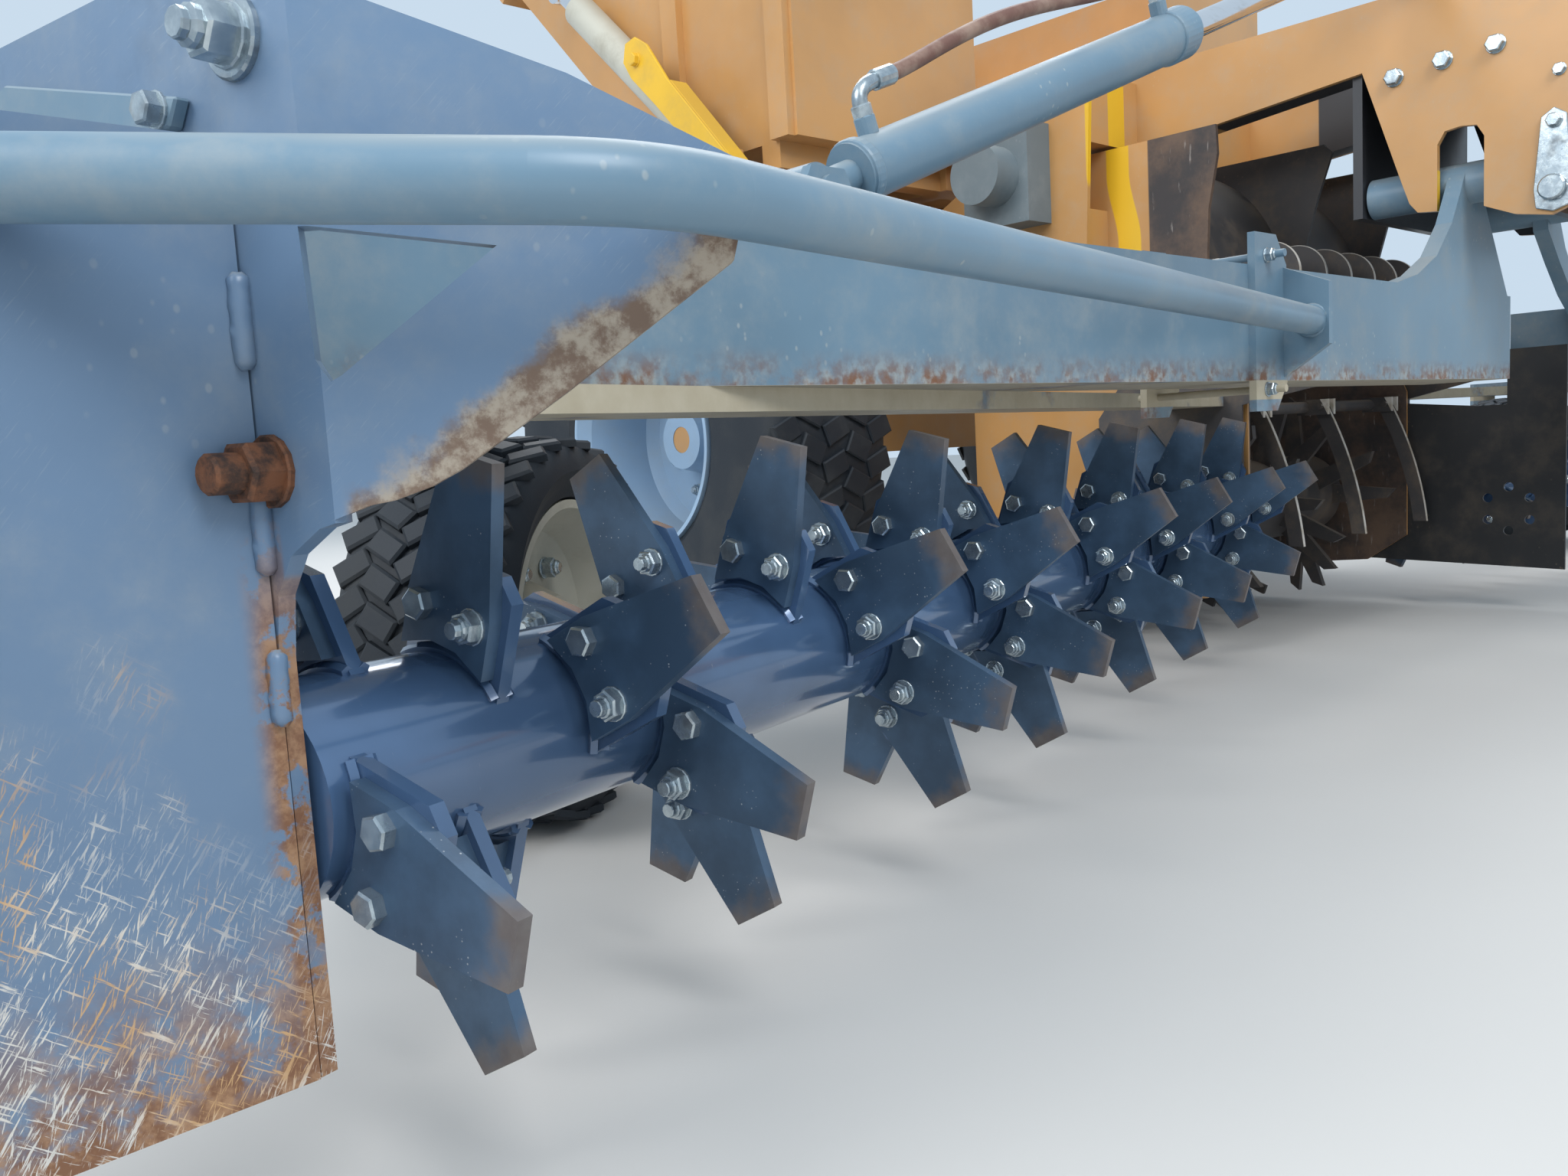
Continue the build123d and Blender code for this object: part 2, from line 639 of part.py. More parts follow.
w = CASTER_W / 2
caster_tyre_profile = [
    (-w + 36, CASTER_RIM_R),
    (-w + 6, CASTER_RIM_R + 22),
    (-w, CASTER_R - 48),
    (-w + 16, CASTER_R - 14),
    (-w + 46, CASTER_R - 2),
    (0, CASTER_R),
    (w - 46, CASTER_R - 2),
    (w - 16, CASTER_R - 14),
    (w, CASTER_R - 48),
    (w - 6, CASTER_RIM_R + 22),
    (w - 36, CASTER_RIM_R),
]
save_pair("caster_tyre", turned(caster_tyre_profile, hub, face))
bore = CASTER_SPINDLE_R + RUN_FIT
caster_rim_profile = [
    (-w + 22, CASTER_RIM_R - 12),
    (-w + 22, CASTER_RIM_R),
    (w - 22, CASTER_RIM_R),
    (w - 22, CASTER_RIM_R - 12),
    (40, CASTER_RIM_R - 40),
    (28, 70),
    (75, 48),
    (75, bore),
    (-75, bore),
    (-75, 48),
    (14, 70),
    (10, CASTER_RIM_R - 44),
]
save_pair("caster_rim", turned(caster_rim_profile, hub, face))

# Main wheels on stub axles
wheel_at = Vector(WHEEL_X, WHEEL_Y, WHEEL_R)
w = WHEEL_W / 2
tyre_profile = [
    (-w + 40, RIM_R),
    (-w + 8, RIM_R + 40),
    (-w, WHEEL_R - 130),
    (-w + 14, WHEEL_R - 45),
    (-w + 50, WHEEL_R - 12),
    (0, WHEEL_R),
    (w - 50, WHEEL_R - 12),
    (w - 14, WHEEL_R - 45),
    (w, WHEEL_R - 130),
    (w - 8, RIM_R + 40),
    (w - 40, RIM_R),
]
save_pair("main_tyre", turned(tyre_profile, wheel_at, (1, 0, 0)))
bore = SPINDLE_R + RUN_FIT
rim_profile = [
    (-w + 22, RIM_R - 10),
    (-w + 22, RIM_R),
    (w - 22, RIM_R),
    (w - 22, RIM_R - 10),
    (w - 60, RIM_R - 26),
    (-40, RIM_R - 36),
    (-70, RIM_R - 60),
    (-70, 110),
    (-52, 95),
    (30, 78),
    (30, bore),
    (-130, bore),
    (-130, 85),
    (-88, 95),
    (-88, RIM_R - 50),
    (-60, RIM_R - 20),
]
save_pair("main_rim", turned(rim_profile, wheel_at, (1, 0, 0)))

# Main frame: front box, upper side beams, cheeks, rails, axle, mast and hopper lugs
side_outline = [
    (600, BOX_TOP_Z),
    (600, 1342),
    (806, 1241),
    (886, 1000),
    (902, 954),
    (918, 934),
    (956, 930),
    (956, 1062),
    (970, 1086),
    (1000, 1090),
    (1030, 1086),
    (1044, 1062),
    (1044, 925),
    (1100, 900),
    (1164, 888),
    (1222, 912),
    (1236, 970),
    (1222, 1060),
    (1240, 1180),
    (1240, BOX_TOP_Z),
]
upper_outline = [(180, 1181), (806, 1241), (806, BOX_TOP_Z), (180, 1380)]
cheek_outline = [
    (262, RAIL_BOTTOM_Z),
    (285, 1350),
    (-100, 1350),
    (-100, 1140),
    (-300, RAIL_TOP_Z),
    (-300, RAIL_BOTTOM_Z),
]
upright = [
    (TIP_Y - 130, RAIL_TOP_Z - 5),
    (TIP_Y + 130, RAIL_TOP_Z - 5),
    (TIP_Y + 32, TIP_Z + 34),
    (TIP_Y - 32, TIP_Z + 34),
]
mast_outline = [
    (-220, BOX_TOP_Z - 20),
    (220, BOX_TOP_Z - 20),
    (FOLD_TOP_X + 45, FOLD_TOP_Z - 35),
    (FOLD_TOP_X + 45, FOLD_TOP_Z + 36),
    (FOLD_TOP_X - 20, FOLD_TOP_Z + 50),
    (20 - FOLD_TOP_X, FOLD_TOP_Z + 50),
    (-FOLD_TOP_X - 45, FOLD_TOP_Z + 36),
    (-FOLD_TOP_X - 45, FOLD_TOP_Z - 35),
]
with BuildPart() as main_frame:
    for side in (-1, 1):
        x = BOX_X if side > 0 else -BOX_X - BOX_T
        add(slab(side_outline, along(x), BOX_T))
        x = BOX_X - 64 if side > 0 else -BOX_X - BOX_T
        add(slab(upper_outline, along(x), 64 + BOX_T))
        x = CHEEK_X if side > 0 else -CHEEK_X - PLATE_T
        add(slab(cheek_outline, along(x), PLATE_T))
        x = RAIL_X if side > 0 else -RAIL_X - RAIL_W
        add(block(x, x + RAIL_W, RAIL_REAR_Y, RAIL_FRONT_Y, RAIL_BOTTOM_Z, RAIL_TOP_Z))
        add(block(x, x + RAIL_W, WHEEL_Y - 90, WHEEL_Y + 90, WHEEL_R + 60, RAIL_BOTTOM_Z))
        add(rod((side * 600, WHEEL_Y, WHEEL_R), (side * (WHEEL_X + 28), WHEEL_Y, WHEEL_R), SPINDLE_R))
        x0, x1 = sorted((side * RAIL_X, side * (TIP_X + 50)))
        add(block(x0, x1, TIP_LOW_Y - 45, TIP_LOW_Y + 45, RAIL_TOP_Z - 5, TIP_LOW_Z - 50))
        tip_lug = TIP_EYE_W / 2 + LUG_GAP
        for offset in (-tip_lug - LUG_T, tip_lug):
            x = side * TIP_X + offset
            lug = [(TIP_LOW_Y - 40, 1120), (TIP_LOW_Y + 40, 1120), (TIP_LOW_Y + 24, TIP_LOW_Z + 26), (TIP_LOW_Y - 24, TIP_LOW_Z + 26)]
            add(slab(lug, along(x), LUG_T))
        pin_at = side * TIP_X
        pin_half = tip_lug + LUG_T + 6
        add(rod((pin_at - pin_half, TIP_LOW_Y, TIP_LOW_Z), (pin_at + pin_half, TIP_LOW_Y, TIP_LOW_Z), EYE_PIN_R))
        for offset in (0, 50):
            x = side * (RAIL_X + 8 + offset)
            x = x if side > 0 else x - 16
            add(slab(upright, along(x), 16))
        x0, x1 = sorted((side * (RAIL_X), side * (RAIL_X + 80)))
        add(rod((x0, TIP_Y, TIP_Z), (x1, TIP_Y, TIP_Z), TIP_PIN_R))
        x = side * PIVOT_X
        add(rod((x, PIVOT_BACK_Y - PIVOT_WALL - 8, PIVOT_Z), (x, PIVOT_FRONT_Y + PIVOT_WALL + 8, PIVOT_Z), PIVOT_PIN_R))
    for y in (PIVOT_BACK_Y - PIVOT_WALL, PIVOT_FRONT_Y):
        add(block(-BOX_X, BOX_X, y, y + PIVOT_WALL, PIVOT_Z - 42, BOX_TOP_Z - 10))
    add(block(-BOX_X - BOX_T, BOX_X + BOX_T, 600, 1240, BOX_TOP_Z - 16, BOX_TOP_Z))
    add(block(-CHEEK_X, CHEEK_X, 170, 270, 1190, 1350))
    add(block(-RAIL_X, RAIL_X, RAIL_REAR_Y, RAIL_REAR_Y + 90, RAIL_BOTTOM_Z + 20, RAIL_TOP_Z))
    add(block(-RAIL_X, RAIL_X, WHEEL_Y - 45, WHEEL_Y + 45, RAIL_BOTTOM_Z, RAIL_TOP_Z))
    add(block(-620, 620, WHEEL_Y - 65, WHEEL_Y + 65, WHEEL_R - 65, WHEEL_R + 65))
    mast_gap = EYE_W / 2 + OPEN_GAP
    for y in (FOLD_Y - mast_gap, FOLD_Y + mast_gap + LUG_T):
        add(slab(mast_outline, across(y), LUG_T))
    add(block(-60, 60, FOLD_Y - mast_gap, FOLD_Y + mast_gap, BOX_TOP_Z - 5, FOLD_TOP_Z + 30))
    for side in (-1, 1):
        for y in (FOLD_Y - mast_gap - LUG_T - 10, FOLD_Y + mast_gap + LUG_T):
            add(rod((side * FOLD_TOP_X, y, FOLD_TOP_Z), (side * FOLD_TOP_X, y + 10, FOLD_TOP_Z), 24))
save("main_frame", main_frame.part)

# Drawbar: a cross tie with root plates pinned in the front box, two converging legs, the
# right one with the jack's sleeve, and a head with the tow eye
slope = atan2(DRAWBAR_ROOT_Z - DRAWBAR_FRONT_Z, DRAWBAR_FRONT_Y - DRAWBAR_ROOT_Y)
leg_length = hypot(DRAWBAR_ROOT_Z - DRAWBAR_FRONT_Z, DRAWBAR_FRONT_Y - DRAWBAR_ROOT_Y)
leg_plane = Plane(
    origin=(0, DRAWBAR_ROOT_Y, DRAWBAR_ROOT_Z),
    x_dir=(1, 0, 0),
    z_dir=(0, sin(slope), cos(slope)),
)
head_start = leg_length - DRAWBAR_HEAD_LENGTH


def leg_edge(run):
    # Distance of a leg's outer edge from the middle
    return DRAWBAR_ROOT_X + (DRAWBAR_NOSE_X - DRAWBAR_ROOT_X) * run / leg_length


def leg_bar(side):
    tie_end = DRAWBAR_TIE + SEAT_GAP
    leg_end = head_start - SEAT_GAP
    outline = [
        (side * DRAWBAR_GAP_REAR_X, tie_end),
        (side * leg_edge(tie_end), tie_end),
        (side * leg_edge(leg_end), leg_end),
        (side * DRAWBAR_GAP_FRONT_X, leg_end),
    ]
    with BuildPart() as bar:
        with BuildSketch(leg_plane):
            Polygon(*outline, align=None)
        extrude(amount=DRAWBAR_H / 2, both=True)
    return bar.part


jack_out = JACK_LEG / 2 + JACK_WALL
jack_gap = JACK_LEG / 2 + 0.5
with BuildPart() as right_leg:
    add(leg_bar(1))
    add(block(80, JACK_X - jack_out + 2, JACK_Y - 50, JACK_Y + 50, 690, 800))
    add(block(
        JACK_X - jack_out,
        JACK_X + jack_out,
        JACK_Y - jack_out,
        JACK_Y + jack_out,
        JACK_SLEEVE_BOTTOM,
        JACK_SLEEVE_TOP,
    ))
    add(
        block(
            JACK_X - jack_gap,
            JACK_X + jack_gap,
            JACK_Y - jack_gap,
            JACK_Y + jack_gap,
            JACK_SLEEVE_BOTTOM - 10,
            JACK_SLEEVE_TOP - JACK_WALL,
        ),
        mode=Mode.SUBTRACT,
    )

with BuildPart() as tie:
    edge = leg_edge(DRAWBAR_TIE)
    with BuildSketch(leg_plane):
        Polygon(
            (-DRAWBAR_ROOT_X, 0),
            (DRAWBAR_ROOT_X, 0),
            (edge, DRAWBAR_TIE),
            (-edge, DRAWBAR_TIE),
            align=None,
        )
    extrude(amount=DRAWBAR_H / 2, both=True)
    root = [(1078, 925), (1160, 905), (1260, 1000), (1300, 1040), (1300, 1180), (1078, 1290)]
    for side in (-1, 1):
        x = BOX_X - SEAT_GAP - 20 if side > 0 else -BOX_X + SEAT_GAP
        add(slab(root, along(x), 20))
save("drawbar", Compound(children=[tie.part, right_leg.part, leg_bar(-1)]))

head_z = DRAWBAR_FRONT_Z - DRAWBAR_H / 2
with BuildPart() as head:
    edge = leg_edge(head_start)
    with BuildSketch(leg_plane):
        Polygon(
            (-edge, head_start),
            (edge, head_start),
            (DRAWBAR_NOSE_X, leg_length),
            (-DRAWBAR_NOSE_X, leg_length),
            align=None,
        )
    extrude(amount=DRAWBAR_H / 2, both=True)
    add(block(-60, 60, DRAWBAR_FRONT_Y - 60, EYE_Y - 30, DRAWBAR_FRONT_Z - 60, DRAWBAR_FRONT_Z - 10))
    add(rod((0, EYE_Y, head_z + 35 - EYE_HEIGHT / 2), (0, EYE_Y, head_z + 35 + EYE_HEIGHT / 2), EYE_OUTER_R))
    add(rod((0, EYE_Y, 400), (0, EYE_Y, 800), EYE_HOLE_R), mode=Mode.SUBTRACT)
save("drawbar_head", head.part)

with BuildPart() as jack:
    leg = JACK_LEG / 2
    add(block(JACK_X - leg, JACK_X + leg, JACK_Y - leg, JACK_Y + leg, 10, JACK_LEG_TOP))
    add(block(JACK_X - 90, JACK_X + 90, JACK_Y - 90, JACK_Y + 90, 0, 12))
save("jack_leg", jack.part)

# Pickup housing: side walls, cross tubes and the reel's bearings
wall_outline = [
    (WALL_FRONT_Y - 105, 120),
    (WALL_FRONT_Y, 190),
    (WALL_FRONT_Y, 580),
    (WALL_FRONT_Y - 50, 700),
    (WALL_FRONT_Y - 90, 890),
    (WALL_FRONT_Y - 85, 1000),
    (WALL_FRONT_Y - 62, 1117),
    (WALL_FRONT_Y - 65, 1180),
    (-60, 1180),
    (-160, RAIL_BOTTOM_Z),
    (-160, 320),
    (60, 90),
]
with BuildPart() as housing:
    for side in (-1, 1):
        x = WALL_X if side > 0 else -WALL_X - WALL_T
        add(slab(wall_outline, along(x), WALL_T))
    add(block(-WALL_X, WALL_X, -12, 30, 165, 200))
    add(block(-WALL_X, WALL_X, -140, -90, 600, 650))
    for side in (-1, 1):
        inner_end = (side * (WALL_X - 20), REEL_Y, REEL_Z)
        outer_end = (side * (WALL_X + WALL_T), REEL_Y, REEL_Z)
        add(rod(inner_end, outer_end, 60))
    for side in (-1, 1):
        inner_end = (side * (WALL_X - 30), REEL_Y, REEL_Z)
        outer_end = (side * (WALL_X + 20), REEL_Y, REEL_Z)
        add(rod(inner_end, outer_end, 22 + RUN_FIT), mode=Mode.SUBTRACT)
save("pickup_housing", housing.part)

# Disc shaft across the chute
with BuildPart() as discs:
    add(rod((-WALL_X, DISC_Y, DISC_Z), (WALL_X, DISC_Y, DISC_Z), DISC_SHAFT_R))
    for count in range(6):
        x = 335 - 135 * count
        add(rod((x - DISC_T / 2, DISC_Y, DISC_Z), (x + DISC_T / 2, DISC_Y, DISC_Z), DISC_R))
    for side in (-1, 1):
        x = WALL_X - 12 if side > 0 else -WALL_X
        arm = [
            (WALL_FRONT_Y - 105, DISC_Z + 40),
            (WALL_FRONT_Y - 105, DISC_Z - 40),
            (DISC_Y + 20, DISC_Z - 40),
            (DISC_Y + 40, DISC_Z),
            (DISC_Y + 20, DISC_Z + 40),
        ]
        add(slab(arm, along(x), 12))
save("disc_shaft", discs.part)

# Curved cover over the chute, with two guide fins that reach forward between the discs
fin_front = [(545, 902), (555, 945), (585, 1050), (620, 1150), (600, 1172), (300, 1172)]
with BuildPart() as cover:
    with BuildSketch(along(-WALL_X)):
        with BuildLine():
            inner = CenterArc((COVER_Y, COVER_Z), COVER_R, COVER_START, COVER_TURN)
            outer = CenterArc((COVER_Y, COVER_Z), COVER_R + COVER_T, COVER_START, COVER_TURN)
            Line(inner @ 0, outer @ 0)
            Line(inner @ 1, outer @ 1)
        make_face()
    extrude(amount=2 * WALL_X)
    for x in (40, -400):
        with BuildSketch(along(x - FIN_T / 2)):
            with BuildLine():
                root = CenterArc((COVER_Y, COVER_Z), COVER_R + COVER_T / 2, FIN_START, FIN_TURN)
                Polyline(root @ 0, *fin_front, root @ 1)
            make_face()
        extrude(amount=FIN_T)
save("chute_cover", cover.part)

# Black shield outside the left wall, with a ring of six holes
shield_outline = [
    (480, 125),
    (985, 105),
    (985, 670),
    (850, 670),
    (850, 530),
    (780, 530),
    (480, 560),
]
with BuildPart() as left_shield:
    with BuildSketch(along(-WALL_X - WALL_T - SHIELD_PLATE_T)):
        Polygon(*shield_outline, align=None)
        with Locations((SHIELD_HOLES_Y, SHIELD_HOLES_Z)):
            with PolarLocations(SHIELD_HOLES_R, 6, start_angle=30):
                Circle(SHIELD_HOLE_R, mode=Mode.SUBTRACT)
    extrude(amount=SHIELD_PLATE_T)
save("left_shield", left_shield.part)

# Pickup reel
tine_columns = [-370, -290, -170, -90, 70, 150, 250]
with BuildPart() as reel:
    drum_half = WALL_X - 20 - MOVE_GAP
    add(rod((-drum_half, REEL_Y, REEL_Z), (drum_half, REEL_Y, REEL_Z), REEL_DRUM_R))
    add(rod((-WALL_X - WALL_T, REEL_Y, REEL_Z), (WALL_X + WALL_T, REEL_Y, REEL_Z), 22))
    for number, x in enumerate(tine_columns):
        for quarter in range(4):
            angle = 90 * quarter + 22.5 * (number % 4)
            radial = Vector(0, cos(radians(angle)), sin(radians(angle)))
            plane = Plane(origin=(x - 9, REEL_Y, REEL_Z), x_dir=radial, z_dir=(1, 0, 0))
            add(slab([(90, -28), (REEL_TINE_R - 20, -12), (REEL_TINE_R, 12), (90, 28)], plane, 18))
save("pickup_reel", reel.part)

# Stripper bands in front of the reel: curved bars on edge, each held by a clevis on a bar
band_half = sqrt(BAND_R ** 2 - (BAND_HIGH_Z - BAND_CENTRE_Z) ** 2)
bar_y = BAND_CENTRE_Y + band_half - BAND_DEPTH - BAND_BAR_R + 2
with BuildPart() as bands:
    for x in (330, -10, -405):
        with BuildSketch(along(x - BAND_T / 2)):
            with Locations((BAND_CENTRE_Y, BAND_CENTRE_Z)):
                Circle(BAND_R)
                Circle(BAND_R - BAND_DEPTH, mode=Mode.SUBTRACT)
            Polygon(
                (BAND_CENTRE_Y + 500, BAND_LOW_Z),
                (BAND_CENTRE_Y + BAND_R + 50, BAND_LOW_Z),
                (BAND_CENTRE_Y + BAND_R + 50, BAND_HIGH_Z),
                (BAND_CENTRE_Y + 500, BAND_HIGH_Z),
                align=None,
                mode=Mode.INTERSECT,
            )
        extrude(amount=BAND_T)
        for offset in (-22, 12):
            clevis = [
                (bar_y - 18, BAND_HIGH_Z + 8),
                (bar_y - 18, BAND_HIGH_Z - 30),
                (bar_y + 60, BAND_HIGH_Z - 30),
                (bar_y + 60, BAND_HIGH_Z + 8),
            ]
            add(slab(clevis, along(x + offset), 10))
        add(rod((x - 30, bar_y + 42, BAND_HIGH_Z - 10), (x + 30, bar_y + 42, BAND_HIGH_Z - 10), 7))
    add(rod((-WALL_X, bar_y, BAND_HIGH_Z - 10), (WALL_X, bar_y, BAND_HIGH_Z - 10), BAND_BAR_R))
save("stripper_bands", bands.part)

# Comb grate behind the reel, leading up to the hopper
with BuildPart() as grate:
    for number in range(GRATE_BARS):
        x = (number - (GRATE_BARS - 1) / 2) * 100
        with BuildSketch(along(x - GRATE_BAR_T / 2)):
            with Locations((REEL_Y, REEL_Z)):
                Circle(GRATE_R + GRATE_BAR_DEPTH)
                Circle(GRATE_R, mode=Mode.SUBTRACT)
            Polygon(
                (REEL_Y, REEL_Z),
                (REEL_Y - 150, REEL_Z - 400),
                (REEL_Y - 500, REEL_Z - 400),
                (REEL_Y - 500, REEL_Z + 60),
                align=None,
                mode=Mode.INTERSECT,
            )
            Polygon(
                (REEL_Y - GRATE_R + 5, REEL_Z + 20),
                (REEL_Y - GRATE_R - GRATE_BAR_DEPTH + 4, REEL_Z + 20),
                (-92, 1190),
                (-66, 1190),
                align=None,
            )
        extrude(amount=GRATE_BAR_T)
    for y, z in ((-6, 635), (-44, 925), (-76, 1165)):
        add(rod((-WALL_X, y, z), (WALL_X, y, z), 9))
save("comb_grate", grate.part)

# Cast motor on the right cheek
with BuildPart() as motor:
    x = CHEEK_X + PLATE_T
    add(block(x, x + 90, -20, 170, 1020, 1250))
    add(rod((x + 90, 75, 1135), (x + 170, 75, 1135), 70))
save("side_motor", motor.part)

# Hopper: front part with a level floor, then a floor that slopes up to the rear rim
slope_cos = cos(radians(SLOPE_ANGLE))
slope_sin = sin(radians(SLOPE_ANGLE))


def slope_point(run, out=0.0):
    # A point by its way up the sloped floor and its depth below it, as (Y, Z)
    y = SLOPE_START_Y - run * slope_cos - out * slope_sin
    z = HOPPER_FLOOR_Z + run * slope_sin - out * slope_cos
    return (y, z)


t = HOPPER_T
hopper_side = [
    (HOPPER_FRONT_Y, HOPPER_FLOOR_Z),
    (HOPPER_FRONT_Y, HOPPER_TOP_Z),
    (HOPPER_REAR_Y, HOPPER_TOP_Z),
    slope_point(SLOPE_LENGTH),
    (SLOPE_START_Y, HOPPER_FLOOR_Z),
]
inner_corner = (SLOPE_START_Y + t * slope_sin / (1 + slope_cos), HOPPER_FLOOR_Z + t)
inner_side = [
    (HOPPER_FRONT_Y - t, HOPPER_FLOOR_Z + t),
    (HOPPER_FRONT_Y - t, HOPPER_TOP_Z + 10),
    (HOPPER_REAR_Y + t, HOPPER_TOP_Z + 10),
    slope_point(SLOPE_LENGTH, -t * 1.3),
    inner_corner,
]
with BuildPart() as hopper:
    add(slab(hopper_side, along(-HOPPER_X), 2 * HOPPER_X))
    add(slab(inner_side, along(-HOPPER_X + t), 2 * (HOPPER_X - t)), mode=Mode.SUBTRACT)
    add(block(-450, 450, HOPPER_FRONT_Y - 20, HOPPER_FRONT_Y + 20, 1300, 1900), mode=Mode.SUBTRACT)
    for side in (-1, 1):
        x0, x1 = sorted((side * HOPPER_X, side * (HOPPER_X + 40)))
        add(block(x0, x1, HOPPER_REAR_Y, HOPPER_FRONT_Y, HOPPER_TOP_Z - 60, HOPPER_TOP_Z))
        for y, foot in ((-190, HOPPER_FLOOR_Z), (-560, HOPPER_FLOOR_Z), (-1290, 1920)):
            x0, x1 = sorted((side * HOPPER_X, side * (HOPPER_X + 20)))
            add(block(x0, x1, y, y + 60, foot, HOPPER_TOP_Z - 55))
        x = side * (RAIL_X + 8 + 16 + 5)
        x = x if side > 0 else x - 24
        ear = [
            slope_point(350, -2),
            slope_point(960, -2),
            (TIP_Y - 42, TIP_Z - 12),
            (TIP_Y - 22, TIP_Z - 38),
            (TIP_Y + 22, TIP_Z - 38),
            (TIP_Y + 42, TIP_Z - 12),
        ]
        add(slab(ear, along(x), 24))
        x0, x1 = sorted((side * (RAIL_X + 5), side * (RAIL_X + 80)))
        add(block(x0, x1, SLOPE_START_Y, HOPPER_FRONT_Y - 40, HOPPER_FLOOR_Z - 60, HOPPER_FLOOR_Z))
        reach = side * (TIP_X - TIP_EYE_W / 2 - LUG_GAP)
        add(rod((side * (HOPPER_X - 2), TIP_HIGH_Y, TIP_HIGH_Z), (reach, TIP_HIGH_Y, TIP_HIGH_Z), 36))
    for y in (SLOPE_START_Y, -240):
        add(block(-HOPPER_X, HOPPER_X, y, y + 60, HOPPER_FLOOR_Z - 60, HOPPER_FLOOR_Z))
    for run in (340, 940):
        rib = [slope_point(run), slope_point(run + 60), slope_point(run + 60, 60), slope_point(run, 60)]
        add(slab(rib, along(-HOPPER_X), 2 * HOPPER_X))
    for side in (-1, 1):
        pin_start = (side * RAIL_X, TIP_Y, TIP_Z)
        pin_end = (side * (RAIL_X + 80), TIP_Y, TIP_Z)
        add(rod(pin_start, pin_end, TIP_PIN_R + RUN_FIT), mode=Mode.SUBTRACT)
save("hopper", hopper.part)

# Hopper tip cylinders
tip_low = Vector(TIP_X, TIP_LOW_Y, TIP_LOW_Z)
tip_high = Vector(TIP_X, TIP_HIGH_Y, TIP_HIGH_Z)
tip_dir = (tip_high - tip_low).normalized()
tip_length = (tip_high - tip_low).length
half_eye = Vector(TIP_EYE_W / 2, 0, 0)
tip_barrel = cylinder_barrel(tip_low, tip_dir, TIP_BARREL_R, TIP_BORE_R, TIP_ROD_R, TIP_BARREL_END, half_eye)
save_pair("tip_barrel", tip_barrel)
tip_rod = cylinder_rod(tip_low, tip_dir, TIP_BORE_R, TIP_ROD_R, TIP_PISTON_AT, tip_length, half_eye)
save_pair("tip_rod", tip_rod)

print("origin shift", MID_Y)
print("fold length", fold_length, "tip length", tip_length)
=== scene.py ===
"""Looks for a trailed stone picker: paints, wear, fasteners, welds, tyre tread, hoses and trim.

Each piece or group of like pieces has its own operator, listed in the sidebar's panel.
"""
import math
import bpy
from bpy.props import FloatProperty, FloatVectorProperty, IntProperty, PointerProperty
from mathutils import Matrix, Vector


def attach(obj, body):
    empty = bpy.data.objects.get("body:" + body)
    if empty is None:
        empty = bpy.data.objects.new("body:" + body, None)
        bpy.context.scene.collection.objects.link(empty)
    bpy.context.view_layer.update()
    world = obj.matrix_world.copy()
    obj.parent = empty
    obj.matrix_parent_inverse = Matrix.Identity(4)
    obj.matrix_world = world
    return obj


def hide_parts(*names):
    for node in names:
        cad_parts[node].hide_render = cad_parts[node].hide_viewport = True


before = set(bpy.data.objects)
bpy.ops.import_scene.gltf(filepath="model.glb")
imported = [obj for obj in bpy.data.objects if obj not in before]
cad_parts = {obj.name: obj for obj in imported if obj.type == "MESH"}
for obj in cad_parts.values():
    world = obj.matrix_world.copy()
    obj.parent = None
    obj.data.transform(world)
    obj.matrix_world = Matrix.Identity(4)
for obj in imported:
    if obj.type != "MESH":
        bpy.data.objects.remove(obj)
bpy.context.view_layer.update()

bl_info = {
    "name": "Stone picker looks",
    "version": (1, 0, 0),
    "blender": (4, 5, 0),
    "location": "View3D > Sidebar > Stone picker",
    "description": "Paints, wear, fasteners, welds, tread, hoses and trim of a trailed stone picker",
    "category": "Object",
}

# How far the shared frame's origin lies forward of the part's own drawing origin
SHIFT = 1.016
ACROSS = Vector((1, 0, 0))
UP = Vector((0, 0, 1))

# Rotor axis and teeth, as in the part's source
SKEW = math.radians(13.26)
ROTOR_END = Vector((2.851, 1.111 - SHIFT, 0.308))
INWARD = Vector((-math.cos(SKEW), -math.sin(SKEW), 0))
FORE = Vector((-math.sin(SKEW), math.cos(SKEW), 0))
ROTOR_R = 0.0762
PLATE_T = 0.012
TEETH_IN_HELIX = 27
TOOTH_STEP = 0.088
FIRST_TOOTH = 0.0375
FIRST_ANGLE = -18.0
SECOND_HELIX_ANGLE = 135.0
TURN_PER_TOOTH = 45

# The outer bearing plate's ear: where it bends, how far, its lower edge and that edge's slope
EAR_FORE = 0.130
EAR_TURN = math.radians(42.05)
EAR_LOW = 0.473
EAR_SLOPE = 0.66

# Wheels, with the faces that their nuts stand on
MAIN_HUB = Vector((1.000, -0.700 - SHIFT, 0.560))
MAIN_NUTS = Vector((0.930, -0.700 - SHIFT, 0.560))
CASTER_HUB = Vector((2.18975, 0.34011 - SHIFT, 0.280))
CASTER_NUTS = Vector((2.1723, 0.3681 - SHIFT, 0.280))
CASTER_AXLE = Vector((0.5299, -0.848, 0))

# Pins of the fold and tip cylinders, and the arm's pivot on the front box's cheek
FOLD_FOOT = Vector((2.100, 0.910 - SHIFT, 0.805))
FOLD_HEAD = Vector((0.400, 0.910 - SHIFT, 1.465))
FOLD_BARREL_R = 0.0405
FOLD_PORTS = (0.130, 0.845)
PROP_FOOT = Vector((1.226, -0.225 - SHIFT, 1.150))
PROP_LINE = Vector((0, -0.337, 0.349))
CHEEK_X = 0.328
PIVOT_Z = 0.938

# The guard tube's straight line, and where along it the weld of its foot goes
TUBE_FOOT = Vector((1.100, 1.048 - SHIFT, 0.675))
TUBE_LINE = Vector((2.708 - 1.100, 1.410 - 1.048, 0.663 - 0.675)).normalized()
TUBE_WELD_X = 1.1425


